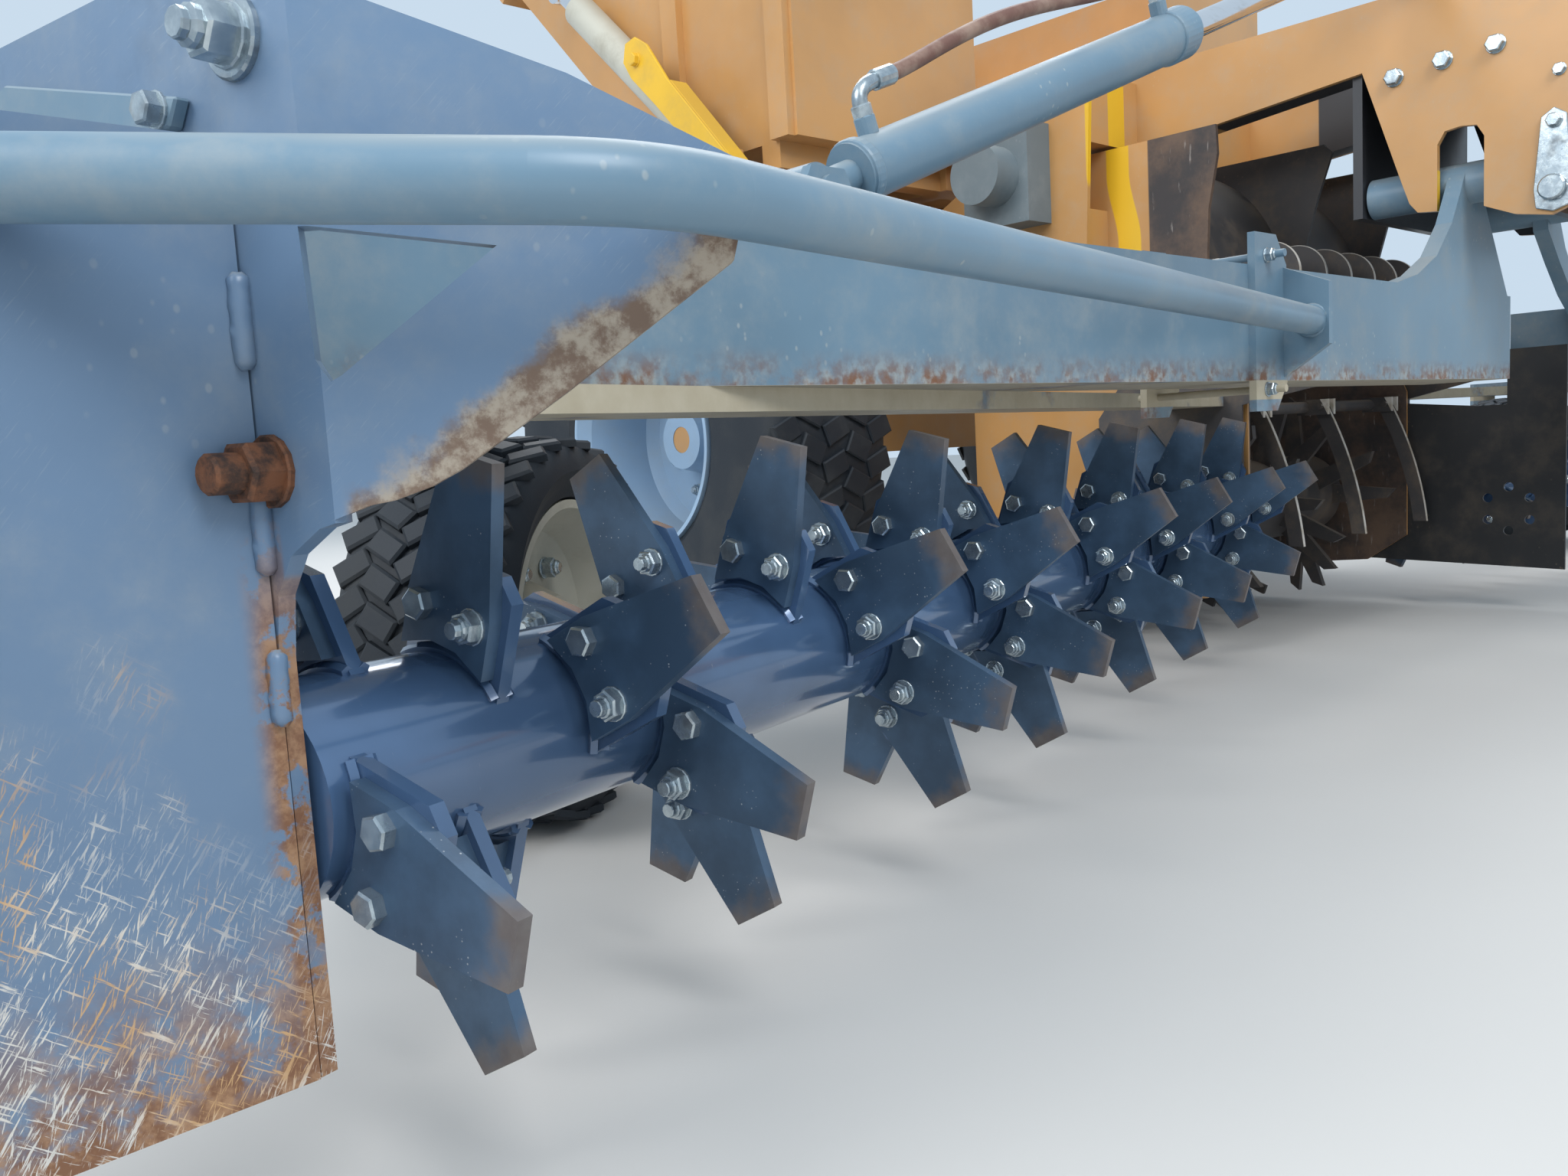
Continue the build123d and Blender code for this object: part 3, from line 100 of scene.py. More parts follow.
def rotor_point(station, fore=0.0, high=0.0):
    """A point on the right rotor's axis, or forward of it and above it."""
    return ROTOR_END + INWARD * station + FORE * fore + UP * high


# ---- finishes


class Finish:
    """One material's nodes."""

    def __init__(self, name):
        self.material = bpy.data.materials.new(name)
        self.material.use_nodes = True
        self.tree = self.material.node_tree
        self.nodes = self.tree.nodes
        self.shader = self.nodes["Principled BSDF"]
        self.place = self.nodes.new("ShaderNodeTexCoord").outputs["Object"]

    def link(self, value, socket):
        """Feed an input with another node's output or with a value."""
        if isinstance(value, bpy.types.NodeSocket):
            self.tree.links.new(value, socket)
        else:
            socket.default_value = value

    def node(self, kind, **inputs):
        """A node with its inputs by name, with _ for a space."""
        node = self.nodes.new("ShaderNode" + kind)
        for name, value in inputs.items():
            self.link(value, node.inputs[name.replace("_", " ")])
        return node

    def moved(self, scale=(1, 1, 1), turn=(0, 0, 0)):
        """Coordinates turned first and then divided by a scale."""
        node = self.node("Mapping", Vector=self.place, Rotation=turn, Scale=scale)
        node.vector_type = "TEXTURE"
        return node.outputs["Vector"]

    def noise(self, scale, detail=4.0, roughness=0.55, place=None, distortion=0.0):
        """Cloudy noise."""
        return self.node(
            "TexNoise", Vector=place or self.place, Scale=scale, Detail=detail,
            Roughness=roughness, Distortion=distortion,
        ).outputs["Fac"]

    def cells(self, scale, place=None):
        """Distance from the middles of scattered cells."""
        return self.node("TexVoronoi", Vector=place or self.place, Scale=scale).outputs["Distance"]

    def step(self, value, low, high):
        """A soft step from 0 at low to 1 at high."""
        node = self.node("MapRange", Value=value, From_Min=low, From_Max=high)
        node.interpolation_type = "SMOOTHSTEP"
        return node.outputs["Result"]

    def within(self, value, low, high, soft=0.002):
        """1 where a value lies between low and high."""
        over = self.step(value, low - soft, low + soft)
        return self.times(over, self.step(value, high + soft, high - soft))

    def math(self, kind, a, b=0.0, clamp=False):
        """A number's operation. The four below keep to 0 and 1, unless told not to."""
        node = self.nodes.new("ShaderNodeMath")
        node.operation = kind
        node.use_clamp = clamp
        self.link(a, node.inputs[0])
        self.link(b, node.inputs[1])
        return node.outputs["Value"]

    def times(self, a, b, clamp=True):
        return self.math("MULTIPLY", a, b, clamp)

    def plus(self, a, b, clamp=True):
        return self.math("ADD", a, b, clamp)

    def less(self, a, b, clamp=True):
        return self.math("SUBTRACT", a, b, clamp)

    def most(self, a, b):
        return self.math("MAXIMUM", a, b, True)

    def vector(self, kind, a, b=(0, 0, 0)):
        """A vector's operation."""
        node = self.nodes.new("ShaderNodeVectorMath")
        node.operation = kind
        self.link(a, node.inputs[0])
        self.link(b, node.inputs[1])
        return node.outputs["Value" if kind in ("DOT_PRODUCT", "LENGTH") else "Vector"]

    def mix(self, fac, a, b):
        """Colour a where fac is 0, and colour b where it is 1."""
        node = self.nodes.new("ShaderNodeMix")
        node.data_type = "RGBA"
        self.link(fac, node.inputs[0])
        self.link(self.rgba(a), node.inputs[6])
        self.link(self.rgba(b), node.inputs[7])
        return node.outputs[2]

    @staticmethod
    def rgba(colour):
        if isinstance(colour, bpy.types.NodeSocket):
            return colour
        return (colour[0], colour[1], colour[2], 1.0)

    def axis(self, name):
        return self.node("SeparateXYZ", Vector=self.place).outputs[name]

    def across(self):
        """Distance from the machine's middle plane."""
        return self.math("ABSOLUTE", self.axis("X"))

    def along(self, start, line):
        """Distance from a start along a line, with the left side laid on the right one."""
        node = self.node("CombineXYZ", X=self.across(), Y=self.axis("Y"), Z=self.axis("Z"))
        return self.vector("DOT_PRODUCT", self.vector("SUBTRACT", node.outputs["Vector"], start), line)

    def ring(self, y, z):
        """Distance from an axis that runs across the machine."""
        rise = self.less(self.axis("Z"), z, False)
        run = self.less(self.axis("Y"), y, False)
        square = self.plus(self.times(rise, rise, False), self.times(run, run, False), False)
        return self.math("SQRT", square)

    def upward(self):
        """How far a face looks up."""
        normal = self.nodes.new("ShaderNodeNewGeometry").outputs["Normal"]
        return self.node("SeparateXYZ", Vector=normal).outputs["Z"]

    def bump(self, height, strength, distance):
        return self.node("Bump", Height=height, Strength=strength, Distance=distance).outputs["Normal"]

    def set(self, colour, roughness, metallic=0.0, normal=None, coat=0.0, coat_roughness=0.1):
        """Feed the shader, and give the material."""
        inputs = self.shader.inputs
        self.link(self.rgba(colour), inputs["Base Color"])
        self.link(roughness, inputs["Roughness"])
        self.link(metallic, inputs["Metallic"])
        inputs["Coat Weight"].default_value = coat
        inputs["Coat Roughness"].default_value = coat_roughness
        if normal is not None:
            self.link(normal, inputs["Normal"])
        return self.material


def scaled(colour, share):
    """A colour made darker or lighter."""
    return [min(1, c * share) for c in colour]


def dirty_paint(name, colour, dust, roughness=0.38, dust_amount=0.5, specks=0.5, coat=0.2):
    """Sprayed paint with dust on what faces up, dried splashes and fine scratches."""
    f = Finish(name)
    shade = f.mix(f.step(f.noise(1.7, 5), 0.3, 0.7), scaled(colour, 0.86), scaled(colour, 1.1))
    film = f.times(f.step(f.noise(9, 7, 0.7), 0.42, 0.78), dust_amount)
    top = f.times(f.step(f.upward(), 0.35, 0.95), 0.35 + dust_amount * 0.5)
    film = f.most(film, f.times(top, f.step(f.noise(5, 6), 0.25, 0.6)))
    shade = f.mix(film, shade, dust)
    drop = f.less(1.0, f.step(f.cells(75, f.moved((1, 1, 1.4))), 0.10, 0.2))
    drop = f.times(f.times(drop, f.step(f.noise(6, 3), 0.5, 0.68)), specks)
    shade = f.mix(drop, shade, scaled(dust, 1.25))
    rough = f.plus(f.times(film, 0.45), roughness)
    normal = f.bump(f.plus(f.times(drop, 0.8), f.times(f.noise(160, 3), 0.2)), 0.25, 0.001)
    f.set(shade, rough, 0.0, normal, coat, 0.25)
    return f, shade, rough, normal


def plain_paint(*look):
    """Paint with nothing more on it."""
    return dirty_paint(*look)[0].material


def orange_base(name, colours):
    return dirty_paint(name, colours.orange, (0.42, 0.36, 0.28), 0.36, 0.3, 0.15)


def muddy_base(name):
    return dirty_paint(name, (0.055, 0.05, 0.05), (0.17, 0.125, 0.085), 0.55, 0.75, 0.5, 0.0)


def yellow_edge(f, back, front, beyond):
    """Where a wall's front edge is yellow, beyond a distance from the middle. It flares at its foot."""
    flare = f.times(f.step(f.axis("Z"), 1.12, 0.96), 0.028)
    strip = f.within(f.less(f.axis("Y"), flare, False), back - SHIFT, front - SHIFT)
    strip = f.times(strip, f.math("GREATER_THAN", f.across(), beyond))
    return f.times(strip, f.within(f.axis("Z"), 0.93, 1.33))


def frame_orange(name, colours):
    """Orange paint, with painted shade inside the front box, and yellow strips on its front and in its
    slots.
    """
    f, shade, rough, normal = orange_base(name, colours)
    across, y, z = f.across(), f.axis("Y"), f.axis("Z")
    # Painted shade: the front box's inside is painted near black, where shade falls.
    inside = f.times(f.step(across, 0.3150, 0.3135), f.within(y, 0.46 - SHIFT, 1.38 - SHIFT))
    inside = f.times(inside, f.within(z, 0.80, 1.3775, 0.001))
    shade = f.mix(inside, shade, (0.030, 0.030, 0.034))
    slot = f.times(f.within(y, 0.950 - SHIFT, 0.9625 - SHIFT, 0.0005), f.within(z, 0.90, 1.012))
    slot = f.times(slot, f.within(across, 0.311, 0.3275, 0.0005))
    above = f.times(f.within(across, 0.385, 0.455, 0.001), f.within(z, 1.185, 1.335))
    above = f.times(above, f.within(y, 0.2695 - SHIFT, 0.2715 - SHIFT, 0.0005))
    strip = f.most(f.most(yellow_edge(f, 0.270, 0.333, 0.5385), slot), above)
    return f.set(f.mix(strip, shade, colours.yellow), rough, 0.0, normal, 0.15, 0.25)


def housing_orange(name, colours):
    """Orange paint, worn to brown dirt and bare steel inside the chute and at the mouth."""
    f, shade, rough, normal = orange_base(name, colours)
    mouth = f.times(f.step(f.axis("Y"), 0.370 - SHIFT, 0.374 - SHIFT), f.step(f.axis("Z"), 0.55, 0.75))
    worn = f.most(f.step(f.across(), 0.4495, 0.4480), mouth)
    brown = f.mix(f.step(f.noise(7, 6, 0.65), 0.35, 0.68), (0.040, 0.034, 0.034), (0.15, 0.092, 0.060))
    streak = f.step(f.noise(22, 4, 0.6, f.moved((1, 0.25, 1.6))), 0.62, 0.72)
    shade = f.mix(worn, shade, f.mix(f.times(streak, 0.5), brown, (0.42, 0.37, 0.33)))
    shade = f.mix(yellow_edge(f, 0.262, 0.322, 0.4535), shade, colours.yellow)
    return f.set(shade, f.plus(rough, f.times(worn, 0.2)), 0.0, normal, 0.1, 0.3)


def arm_paint(name, colours):
    """Gray-blue paint with crust along the beam's lower edge and dried mud on the rotor's deck."""
    f, shade, rough, normal = dirty_paint(name, colours.arm_paint, colours.dust)
    edge = f.times(f.step(f.axis("Z"), 0.628, 0.587), f.step(f.noise(14, 6, 0.65), 0.36, 0.62))
    crust = f.mix(f.step(f.noise(60, 4), 0.4, 0.65), colours.rust, colours.dust)
    deck = f.times(f.within(f.axis("Z"), 0.555, 0.5853, 0.0005), f.step(f.noise(6, 5), 0.30, 0.42))
    crust = f.mix(deck, crust, f.mix(f.noise(30, 5), (0.36, 0.30, 0.20), (0.52, 0.47, 0.36)))
    edge = f.most(edge, deck)
    return f.set(f.mix(edge, shade, crust), f.plus(rough, f.times(edge, 0.3)), 0.0, normal, 0.15, 0.25)


def guard_paint(name, colours):
    """Blue paint with crossing strands, smudges, hairlines, rust low down and a rubbed ear."""
    paint = colours.guard_paint
    f, shade, rough, normal = dirty_paint(name, paint, colours.dust, 0.34, 0.35, 0.3)
    z = f.axis("Z")
    strands = []
    for turn, scale, cut in ((0.95, 40, 0.57), (-0.65, 34, 0.59), (1.30, 52, 0.59)):
        strand = f.noise(scale, 5, 0.6, f.moved((1, 1, 0.07), (0, turn, 0)), 0.15)
        strands.append(f.step(strand, cut, cut + 0.05))
    patch = f.less(f.noise(4.5, 4, 0.6), f.times(f.less(z, 0.14), 0.95))
    scuff = f.times(f.most(f.most(strands[0], strands[1]), strands[2]), f.step(patch, 0.22, 0.40))
    # Rust at the plate's foot and on the guard's front lip
    crust = f.times(f.step(z, 0.27, 0.15), f.step(f.noise(26, 6, 0.65), 0.38, 0.56))
    crust = f.most(crust, f.step(f.plus(z, f.times(f.noise(18, 4), 0.05)), 0.192, 0.165))
    lip = f.times(f.within(f.along(rotor_point(0), FORE), 0.0603, 0.0760), f.step(z, 0.53, 0.40))
    crust = f.most(crust, f.times(lip, f.step(f.noise(22, 6, 0.7), 0.44, 0.50)))
    # Tan along the ear's lower edge, with a ragged upper border
    ear = f.along(rotor_point(0, EAR_FORE), FORE * math.cos(EAR_TURN) + INWARD * math.sin(EAR_TURN))
    rise = f.less(z, f.plus(f.times(ear, EAR_SLOPE, False), EAR_LOW, False), False)
    ragged = f.less(rise, f.times(f.noise(9, 6, 0.7), 0.085), False)
    rubbed = f.times(f.step(ragged, 0.0, -0.022), f.step(ear, 0.004, 0.012))
    hair = f.step(f.noise(52, 4, 0.6, f.moved((1, 1, 0.05), (0, 0.9, 0))), 0.60, 0.68)
    hair = f.times(hair, f.step(f.noise(2.6, 3), 0.42, 0.62))
    smudge = f.times(f.step(f.noise(3.4, 6, 0.7), 0.50, 0.72), 0.45)
    shade = f.mix(smudge, shade, scaled(paint, 0.42))
    shade = f.mix(f.times(hair, 0.35), shade, (0.36, 0.40, 0.42))
    brown = f.mix(f.step(f.noise(48, 6, 0.7), 0.40, 0.62), colours.rust, (0.34, 0.19, 0.10))
    pale = f.mix(f.step(f.noise(15, 5), 0.45, 0.62), (0.60, 0.57, 0.52), (0.50, 0.30, 0.14))
    tan = f.mix(f.step(f.noise(34, 6, 0.7), 0.42, 0.58), (0.37, 0.31, 0.24), (0.17, 0.11, 0.075))
    shade = f.mix(rubbed, f.mix(scuff, f.mix(crust, shade, brown), pale), tan)
    dirt = f.most(f.most(scuff, crust), rubbed)
    return f.set(shade, f.plus(rough, f.times(dirt, 0.35)), 0.0, normal, 0.15, 0.3)


def rotor_gloss(name, colours):
    """Glossy dark blue with bright scratches."""
    f = Finish(name)
    paint = colours.rotor_paint
    shade = f.mix(f.step(f.noise(3, 5), 0.35, 0.65), scaled(paint, 0.8), scaled(paint, 1.2))
    scratch = f.step(f.noise(30, 8, 0.8, f.moved((0.3, 1.6, 1))), 0.64, 0.72)
    shade = f.mix(f.times(scratch, 0.4), shade, (0.32, 0.36, 0.40))
    rough = f.plus(f.times(f.noise(8, 4), 0.2), 0.12)
    return f.set(shade, rough, 0.25, f.bump(f.noise(38, 3, 0.5), 0.12, 0.002), 0.8, 0.08)


def tooth_steel(name, colours):
    """Dark steel with pale specks, worn brown at the teeth's tips."""
    f = Finish(name)
    dark = colours.tooth
    pepper = f.less(1.0, f.step(f.cells(210), 0.10, 0.16))
    pepper = f.times(pepper, f.step(f.noise(25, 3), 0.52, 0.66))
    shade = f.mix(f.step(f.noise(12, 6), 0.35, 0.7), scaled(dark, 0.8), scaled(dark, 1.35))
    shade = f.mix(pepper, shade, (0.42, 0.44, 0.45))
    # Distance from the rotor's axis, on either side
    reaches = []
    for way in (1, -1):
        away = f.vector("SUBTRACT", f.place, (ROTOR_END.x * way, ROTOR_END.y, ROTOR_END.z))
        reach = f.vector("LENGTH", f.vector("CROSS_PRODUCT", away, (INWARD.x * way, INWARD.y, 0)))
        side = f.math("GREATER_THAN", f.times(f.axis("X"), way), 0.0)
        reaches.append(f.times(side, reach))
    tip = f.step(f.plus(f.plus(*reaches), f.times(f.noise(30, 5), 0.06)), 0.232, 0.262)
    worn = f.mix(f.noise(45, 4), (0.10, 0.065, 0.045), (0.23, 0.20, 0.18))
    shade = f.mix(f.times(tip, 0.85), shade, worn)
    normal = f.bump(f.noise(60, 5, 0.6), 0.25, 0.0012)
    return f.set(shade, f.plus(f.times(tip, 0.2), 0.38), 0.35, normal, 0.1, 0.3)


def edge_steel(name, y, z, reach):
    """Muddy steel, bright beyond a reach from an axis that runs across the machine."""
    f, shade, rough, normal = muddy_base(name)
    edge = f.step(f.ring(y - SHIFT, z), reach, reach + 0.0008)
    bright = f.mix(f.step(f.noise(30, 4), 0.35, 0.6), (0.44, 0.38, 0.30), (0.62, 0.58, 0.52))
    return f.set(f.mix(edge, shade, bright), f.less(rough, f.times(edge, 0.2)), 0.0, normal)


def zinc_plating(name, colours):
    f = Finish(name)
    tint = f.mix(f.step(f.noise(70, 4), 0.35, 0.7), (0.34, 0.40, 0.44), (0.52, 0.58, 0.60))
    grime = f.times(f.step(f.noise(25, 5), 0.55, 0.7), 0.55)
    rough = f.plus(f.times(grime, 0.4), 0.27)
    return f.set(f.mix(grime, tint, (0.10, 0.10, 0.10)), rough, 0.85, f.bump(f.noise(220, 3), 0.15, 0.0006))


def rusty_steel(name, colours):
    f = Finish(name)
    tint = f.mix(f.step(f.noise(55, 6, 0.7), 0.35, 0.65), (0.045, 0.028, 0.022), (0.21, 0.085, 0.04))
    return f.set(tint, 0.72, 0.3, f.bump(f.noise(140, 5, 0.7), 0.5, 0.0012))


def tyre_rubber(name, colours):
    f = Finish(name)
    dry = f.step(f.noise(7, 6, 0.65), 0.42, 0.75)
    tint = f.mix(f.times(dry, 0.35), colours.rubber, (0.085, 0.085, 0.080))
    return f.set(tint, f.plus(f.times(dry, 0.2), 0.62), 0.0, f.bump(f.noise(190, 4), 0.3, 0.001))


def hose_cover(name, colours):
    f = Finish(name)
    tint = f.mix(f.step(f.noise(24, 5), 0.35, 0.7), colours.hose, (0.30, 0.20, 0.15))
    return f.set(tint, 0.6, 0.0, f.bump(f.noise(260, 3), 0.3, 0.0006))


def chromed_rod(name, colours):
    f = Finish(name)
    smear = f.step(f.noise(9, 5, 0.6, f.moved((1, 1, 0.3))), 0.55, 0.8)
    tint = f.mix(f.times(smear, 0.4), (0.72, 0.73, 0.75), (0.30, 0.26, 0.20))
    return f.set(tint, f.plus(f.times(smear, 0.3), 0.1), 0.95, f.bump(f.noise(300, 2), 0.05, 0.0005))


# Each finish with its material's name and what makes it
FINISHES = {
    "arm_paint": ("Arm paint", arm_paint),
    "guard_paint": ("Guard paint", guard_paint),
    "rotor_gloss": ("Rotor tube gloss", rotor_gloss),
    "tooth_steel": ("Worn tooth steel", tooth_steel),
    "orange": (
        "Orange paint",
        lambda name, c: plain_paint(name, c.orange, (0.42, 0.33, 0.24), 0.36, 0.3, 0.15),
    ),
    "frame_orange": ("Frame orange", frame_orange),
    "housing_orange": ("Housing orange", housing_orange),
    "yellow": (
        "Yellow paint",
        lambda name, c: plain_paint(name, c.yellow, (0.30, 0.22, 0.12), 0.36, 0.25, 0.15),
    ),
    "cream": (
        "Cream rim paint",
        lambda name, c: plain_paint(name, c.cream, (0.28, 0.24, 0.17), 0.5, 0.5, 0.2),
    ),
    "rim": ("Pale blue rim paint", lambda name, c: plain_paint(name, c.rim, c.dust, 0.33, 0.25, 0.2)),
    "muddy_steel": ("Muddy steel", lambda name, c: muddy_base(name)[0].material),
    "band_steel": ("Worn band steel", lambda name, c: edge_steel(name, -0.270, 0.130, 0.9485)),
    "disc_steel": ("Worn disc steel", lambda name, c: edge_steel(name, 0.600, 0.850, 0.0725)),
    "black_steel": (
        "Scuffed black steel",
        lambda name, c: plain_paint(name, (0.018, 0.019, 0.021), (0.11, 0.085, 0.06), 0.5, 0.45, 0.5, 0.0),
    ),
    "motor_gray": (
        "Motor gray",
        lambda name, c: plain_paint(name, (0.16, 0.20, 0.22), c.dust, 0.5, 0.35, 0.35, 0.0),
    ),
    "zinc": ("Zinc plating", zinc_plating),
    "rusty": ("Rusty steel", rusty_steel),
    "rubber": ("Tyre rubber", tyre_rubber),
    "hose": ("Hose cover", hose_cover),
    "chrome": ("Chromed rod", chromed_rod),
}

PAINTED_NODES = {
    "arm_paint": ("arm_beam", "tube_clamp", "caster_fork", "guard_tube", "fold_barrel"),
    "guard_paint": ("outer_bearing_plate",),
    "muddy_steel": ("inner_bearing_plate", "comb_grate", "pickup_reel", "chute_cover"),
    "band_steel": ("stripper_bands",),
    "disc_steel": ("disc_shaft",),
    "black_steel": ("left_shield",),
    "rotor_gloss": ("rotor",),
    "tooth_steel": ("rotor_teeth",),
    "frame_orange": ("main_frame",),
    "housing_orange": ("pickup_housing",),
    "orange": ("drawbar", "drawbar_head", "hopper"),
    "motor_gray": ("side_motor",),
    "zinc": ("jack_leg",),
    "rubber": ("main_tyre", "caster_tyre"),
    "rim": ("main_rim",),
    "cream": ("caster_rim", "tip_barrel"),
    "chrome": ("fold_rod", "tip_rod"),
}


def finish(kind):
    """The material of a finish that the paint operator has made."""
    return bpy.data.materials[FINISHES[kind][0]]


def picker():
    """The add-on's settings."""
    return bpy.context.scene.stone_picker


class StonePickerColours(bpy.types.PropertyGroup):
    """Paint colours."""

    arm_paint: FloatVectorProperty(
        name="Arm paint", description="Paint of the side arms",
        subtype="COLOR", default=(0.135, 0.225, 0.300),
    )
    guard_paint: FloatVectorProperty(
        name="Guard paint", description="Paint of the motor guard and its plate",
        subtype="COLOR", default=(0.125, 0.200, 0.305),
    )
    rotor_paint: FloatVectorProperty(
        name="Rotor paint", description="Gloss paint of the rotor tubes",
        subtype="COLOR", default=(0.070, 0.130, 0.240),
    )
    tooth: FloatVectorProperty(
        name="Tooth steel", description="Dark steel of the rotor teeth",
        subtype="COLOR", default=(0.052, 0.095, 0.155),
    )
    orange: FloatVectorProperty(
        name="Orange", description="Paint of the frame and hopper",
        subtype="COLOR", default=(0.56, 0.29, 0.10),
    )
    yellow: FloatVectorProperty(
        name="Yellow", description="Paint of the edges and safety props",
        subtype="COLOR", default=(0.80, 0.47, 0.02),
    )
    cream: FloatVectorProperty(
        name="Cream", description="Paint of the caster rims",
        subtype="COLOR", default=(0.50, 0.48, 0.40),
    )
    rim: FloatVectorProperty(
        name="Rim", description="Paint of the main wheels' rims",
        subtype="COLOR", default=(0.30, 0.43, 0.58),
    )
    rubber: FloatVectorProperty(
        name="Rubber", description="Tyre rubber",
        subtype="COLOR", default=(0.009, 0.014, 0.021),
    )
    hose: FloatVectorProperty(
        name="Hose", description="Cover of the cylinder hoses",
        subtype="COLOR", default=(0.16, 0.075, 0.055),
    )
    dust: FloatVectorProperty(
        name="Dust", description="Dried pale dust",
        subtype="COLOR", default=(0.32, 0.34, 0.33),
    )
    rust: FloatVectorProperty(
        name="Rust", description="Rust on bare edges",
        subtype="COLOR", default=(0.19, 0.085, 0.04),
    )


class StonePickerFasteners(bpy.types.PropertyGroup):
    """Sizes of the bolts and welds."""

    tooth_bolt: FloatProperty(
        name="Tooth bolt", description="Tooth bolt's head over its corners",
        default=0.0250, min=0.005, unit="LENGTH",
    )
    bolt_radius: FloatProperty(
        name="Bolt radius", description="Tooth bolts' distance from the rotor's axis",
        default=0.111, min=0.09, unit="LENGTH",
    )
    bolt_spread: FloatProperty(
        name="Bolt spread", description="Tooth bolts' distance from the tooth's middle",
        default=0.027, min=0.015, unit="LENGTH",
    )
    weld: FloatProperty(
        name="Weld", description="Radius of the bracket welds",
        default=0.005, min=0.001, unit="LENGTH",
    )


class StonePickerTyres(bpy.types.PropertyGroup):
    """Tread of the tyres."""

    caster_blocks: IntProperty(
        name="Caster blocks", description="Tread blocks round a caster tyre in one row",
        default=34, min=12,
    )
    main_blocks: IntProperty(
        name="Main blocks", description="Tread blocks round a main tyre in one row",
        default=40, min=12,
    )


class StonePickerStage(bpy.types.PropertyGroup):
    """Camera and floor."""

    lens: FloatProperty(name="Lens", description="Focal length", default=28.51, min=10, unit="CAMERA")
    heading: FloatProperty(
        name="Heading", description="Direction of view from +X",
        default=math.radians(227.34), subtype="ANGLE",
    )
    pitch: FloatProperty(
        name="Pitch", description="Tilt below the horizon",
        default=math.radians(6.37), subtype="ANGLE",
    )
    roll: FloatProperty(
        name="Roll", description="Turn about the line of sight",
        default=math.radians(3.25), subtype="ANGLE",
    )
    eye: FloatVectorProperty(
        name="Eye", description="Place of the camera",
        subtype="XYZ", unit="LENGTH", default=(3.12, 1.9413 - SHIFT, 0.52),
    )
    floor: FloatVectorProperty(
        name="Floor", description="Colour of the floor",
        subtype="COLOR", default=(0.62, 0.60, 0.57),
    )


class StonePicker(bpy.types.PropertyGroup):
    """All settings."""

    colours: PointerProperty(type=StonePickerColours)
    fasteners: PointerProperty(type=StonePickerFasteners)
    tyres: PointerProperty(type=StonePickerTyres)
    stage: PointerProperty(type=StonePickerStage)


class STONEPICKER_OT_paint(bpy.types.Operator):
    """Give every part of the machine its paint, steel or rubber"""

    bl_idname = "stone_picker.paint"
    bl_label = "Paint the machine"

    def execute(self, context):
        colours = picker().colours
        made = {kind: make(name, colours) for kind, (name, make) in FINISHES.items()}
        for kind, names in PAINTED_NODES.items():
            for name in names:
                for node in (name, name + "_right", name + "_left"):
                    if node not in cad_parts:
                        continue
                    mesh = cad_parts[node].data
                    mesh.materials.clear()
                    mesh.materials.append(made[kind])
        return {"FINISHED"}


# ---- modelling


def fresh():
    """Object mode with nothing selected."""
    if bpy.context.object is not None and bpy.context.object.mode != "OBJECT":
        bpy.ops.object.mode_set(mode="OBJECT")
    bpy.ops.object.select_all(action="DESELECT")


def added(name, data):
    """A new object in the scene."""
    piece = bpy.data.objects.new(name, data)
    bpy.context.scene.collection.objects.link(piece)
    return piece


def twin_of(piece, turn):
    """A copy of a piece, moved by a matrix."""
    twin = piece.copy()
    twin.data = piece.data.copy()
    bpy.context.scene.collection.objects.link(twin)
    twin.data.transform(turn)
    return twin


def placed(piece, turn):
    """The piece itself, moved by a matrix."""
    piece.data.transform(turn)
    return piece


def round_bar(sides, radius, depth, place=(0, 0, 0)):
    """A bar along Z."""
    fresh()
    bpy.ops.mesh.primitive_cylinder_add(vertices=sides, radius=radius, depth=depth, location=place)
    bpy.ops.object.transform_apply(location=True, rotation=True, scale=True)
    return bpy.context.object


def bar(size, place=(0, 0, 0)):
    """A square bar."""
    fresh()
    bpy.ops.mesh.primitive_cube_add(size=1, location=place)
    bpy.context.object.scale = size
    bpy.ops.object.transform_apply(location=True, rotation=True, scale=True)
    return bpy.context.object


def edit(piece, kind, test):
    """Edit a piece with the faces or edges picked that pass a test of their middle and direction."""
    fresh()
    bpy.context.view_layer.objects.active = piece
    piece.select_set(True)
    mesh = piece.data
    bpy.context.tool_settings.mesh_select_mode = (False, kind == "EDGE", kind == "FACE")
    for group in (mesh.vertices, mesh.edges, mesh.polygons):
        for item in group:
            item.select = False
    if kind == "FACE":
        for face in mesh.polygons:
            face.select = test(face.center, face.normal)
    else:
        for edge in mesh.edges:
            a, b = (mesh.vertices[i].co for i in edge.vertices)
            edge.select = test((a + b) / 2, (b - a).normalized())
    bpy.ops.object.mode_set(mode="EDIT")


def done():
    """End an edit."""
    bpy.ops.object.mode_set(mode="OBJECT")
    return bpy.context.object


def bevel_edges(piece, offset, test=lambda place, line: True, segments=1):
    """Chamfer or round the edges that pass a test."""
    edit(piece, "EDGE", test)
    bpy.ops.mesh.bevel(offset=offset, segments=segments, affect="EDGES", clamp_overlap=True)
    return done()


def peg(sides, radius, height, bevel, base=0.0):
    """A bar standing up from a base height, chamfered at its top."""
    piece = round_bar(sides, radius, height, (0, 0, base + height / 2))
    return bevel_edges(piece, bevel, lambda place, line: place.z > base + height * 0.9)


def rod(sides, radius, length, bevel, segments=1):
    """A bar about the origin, chamfered at both ends."""
    piece = round_bar(sides, radius, length)
    return bevel_edges(piece, bevel, lambda place, line: abs(place.z) > length * 0.45, segments)


def joined(pieces):
    """Pieces made into one."""
    fresh()
    for piece in pieces:
        piece.select_set(True)
    bpy.context.view_layer.objects.active = pieces[0]
    if len(pieces) > 1:
        bpy.ops.object.join()
    return bpy.context.object


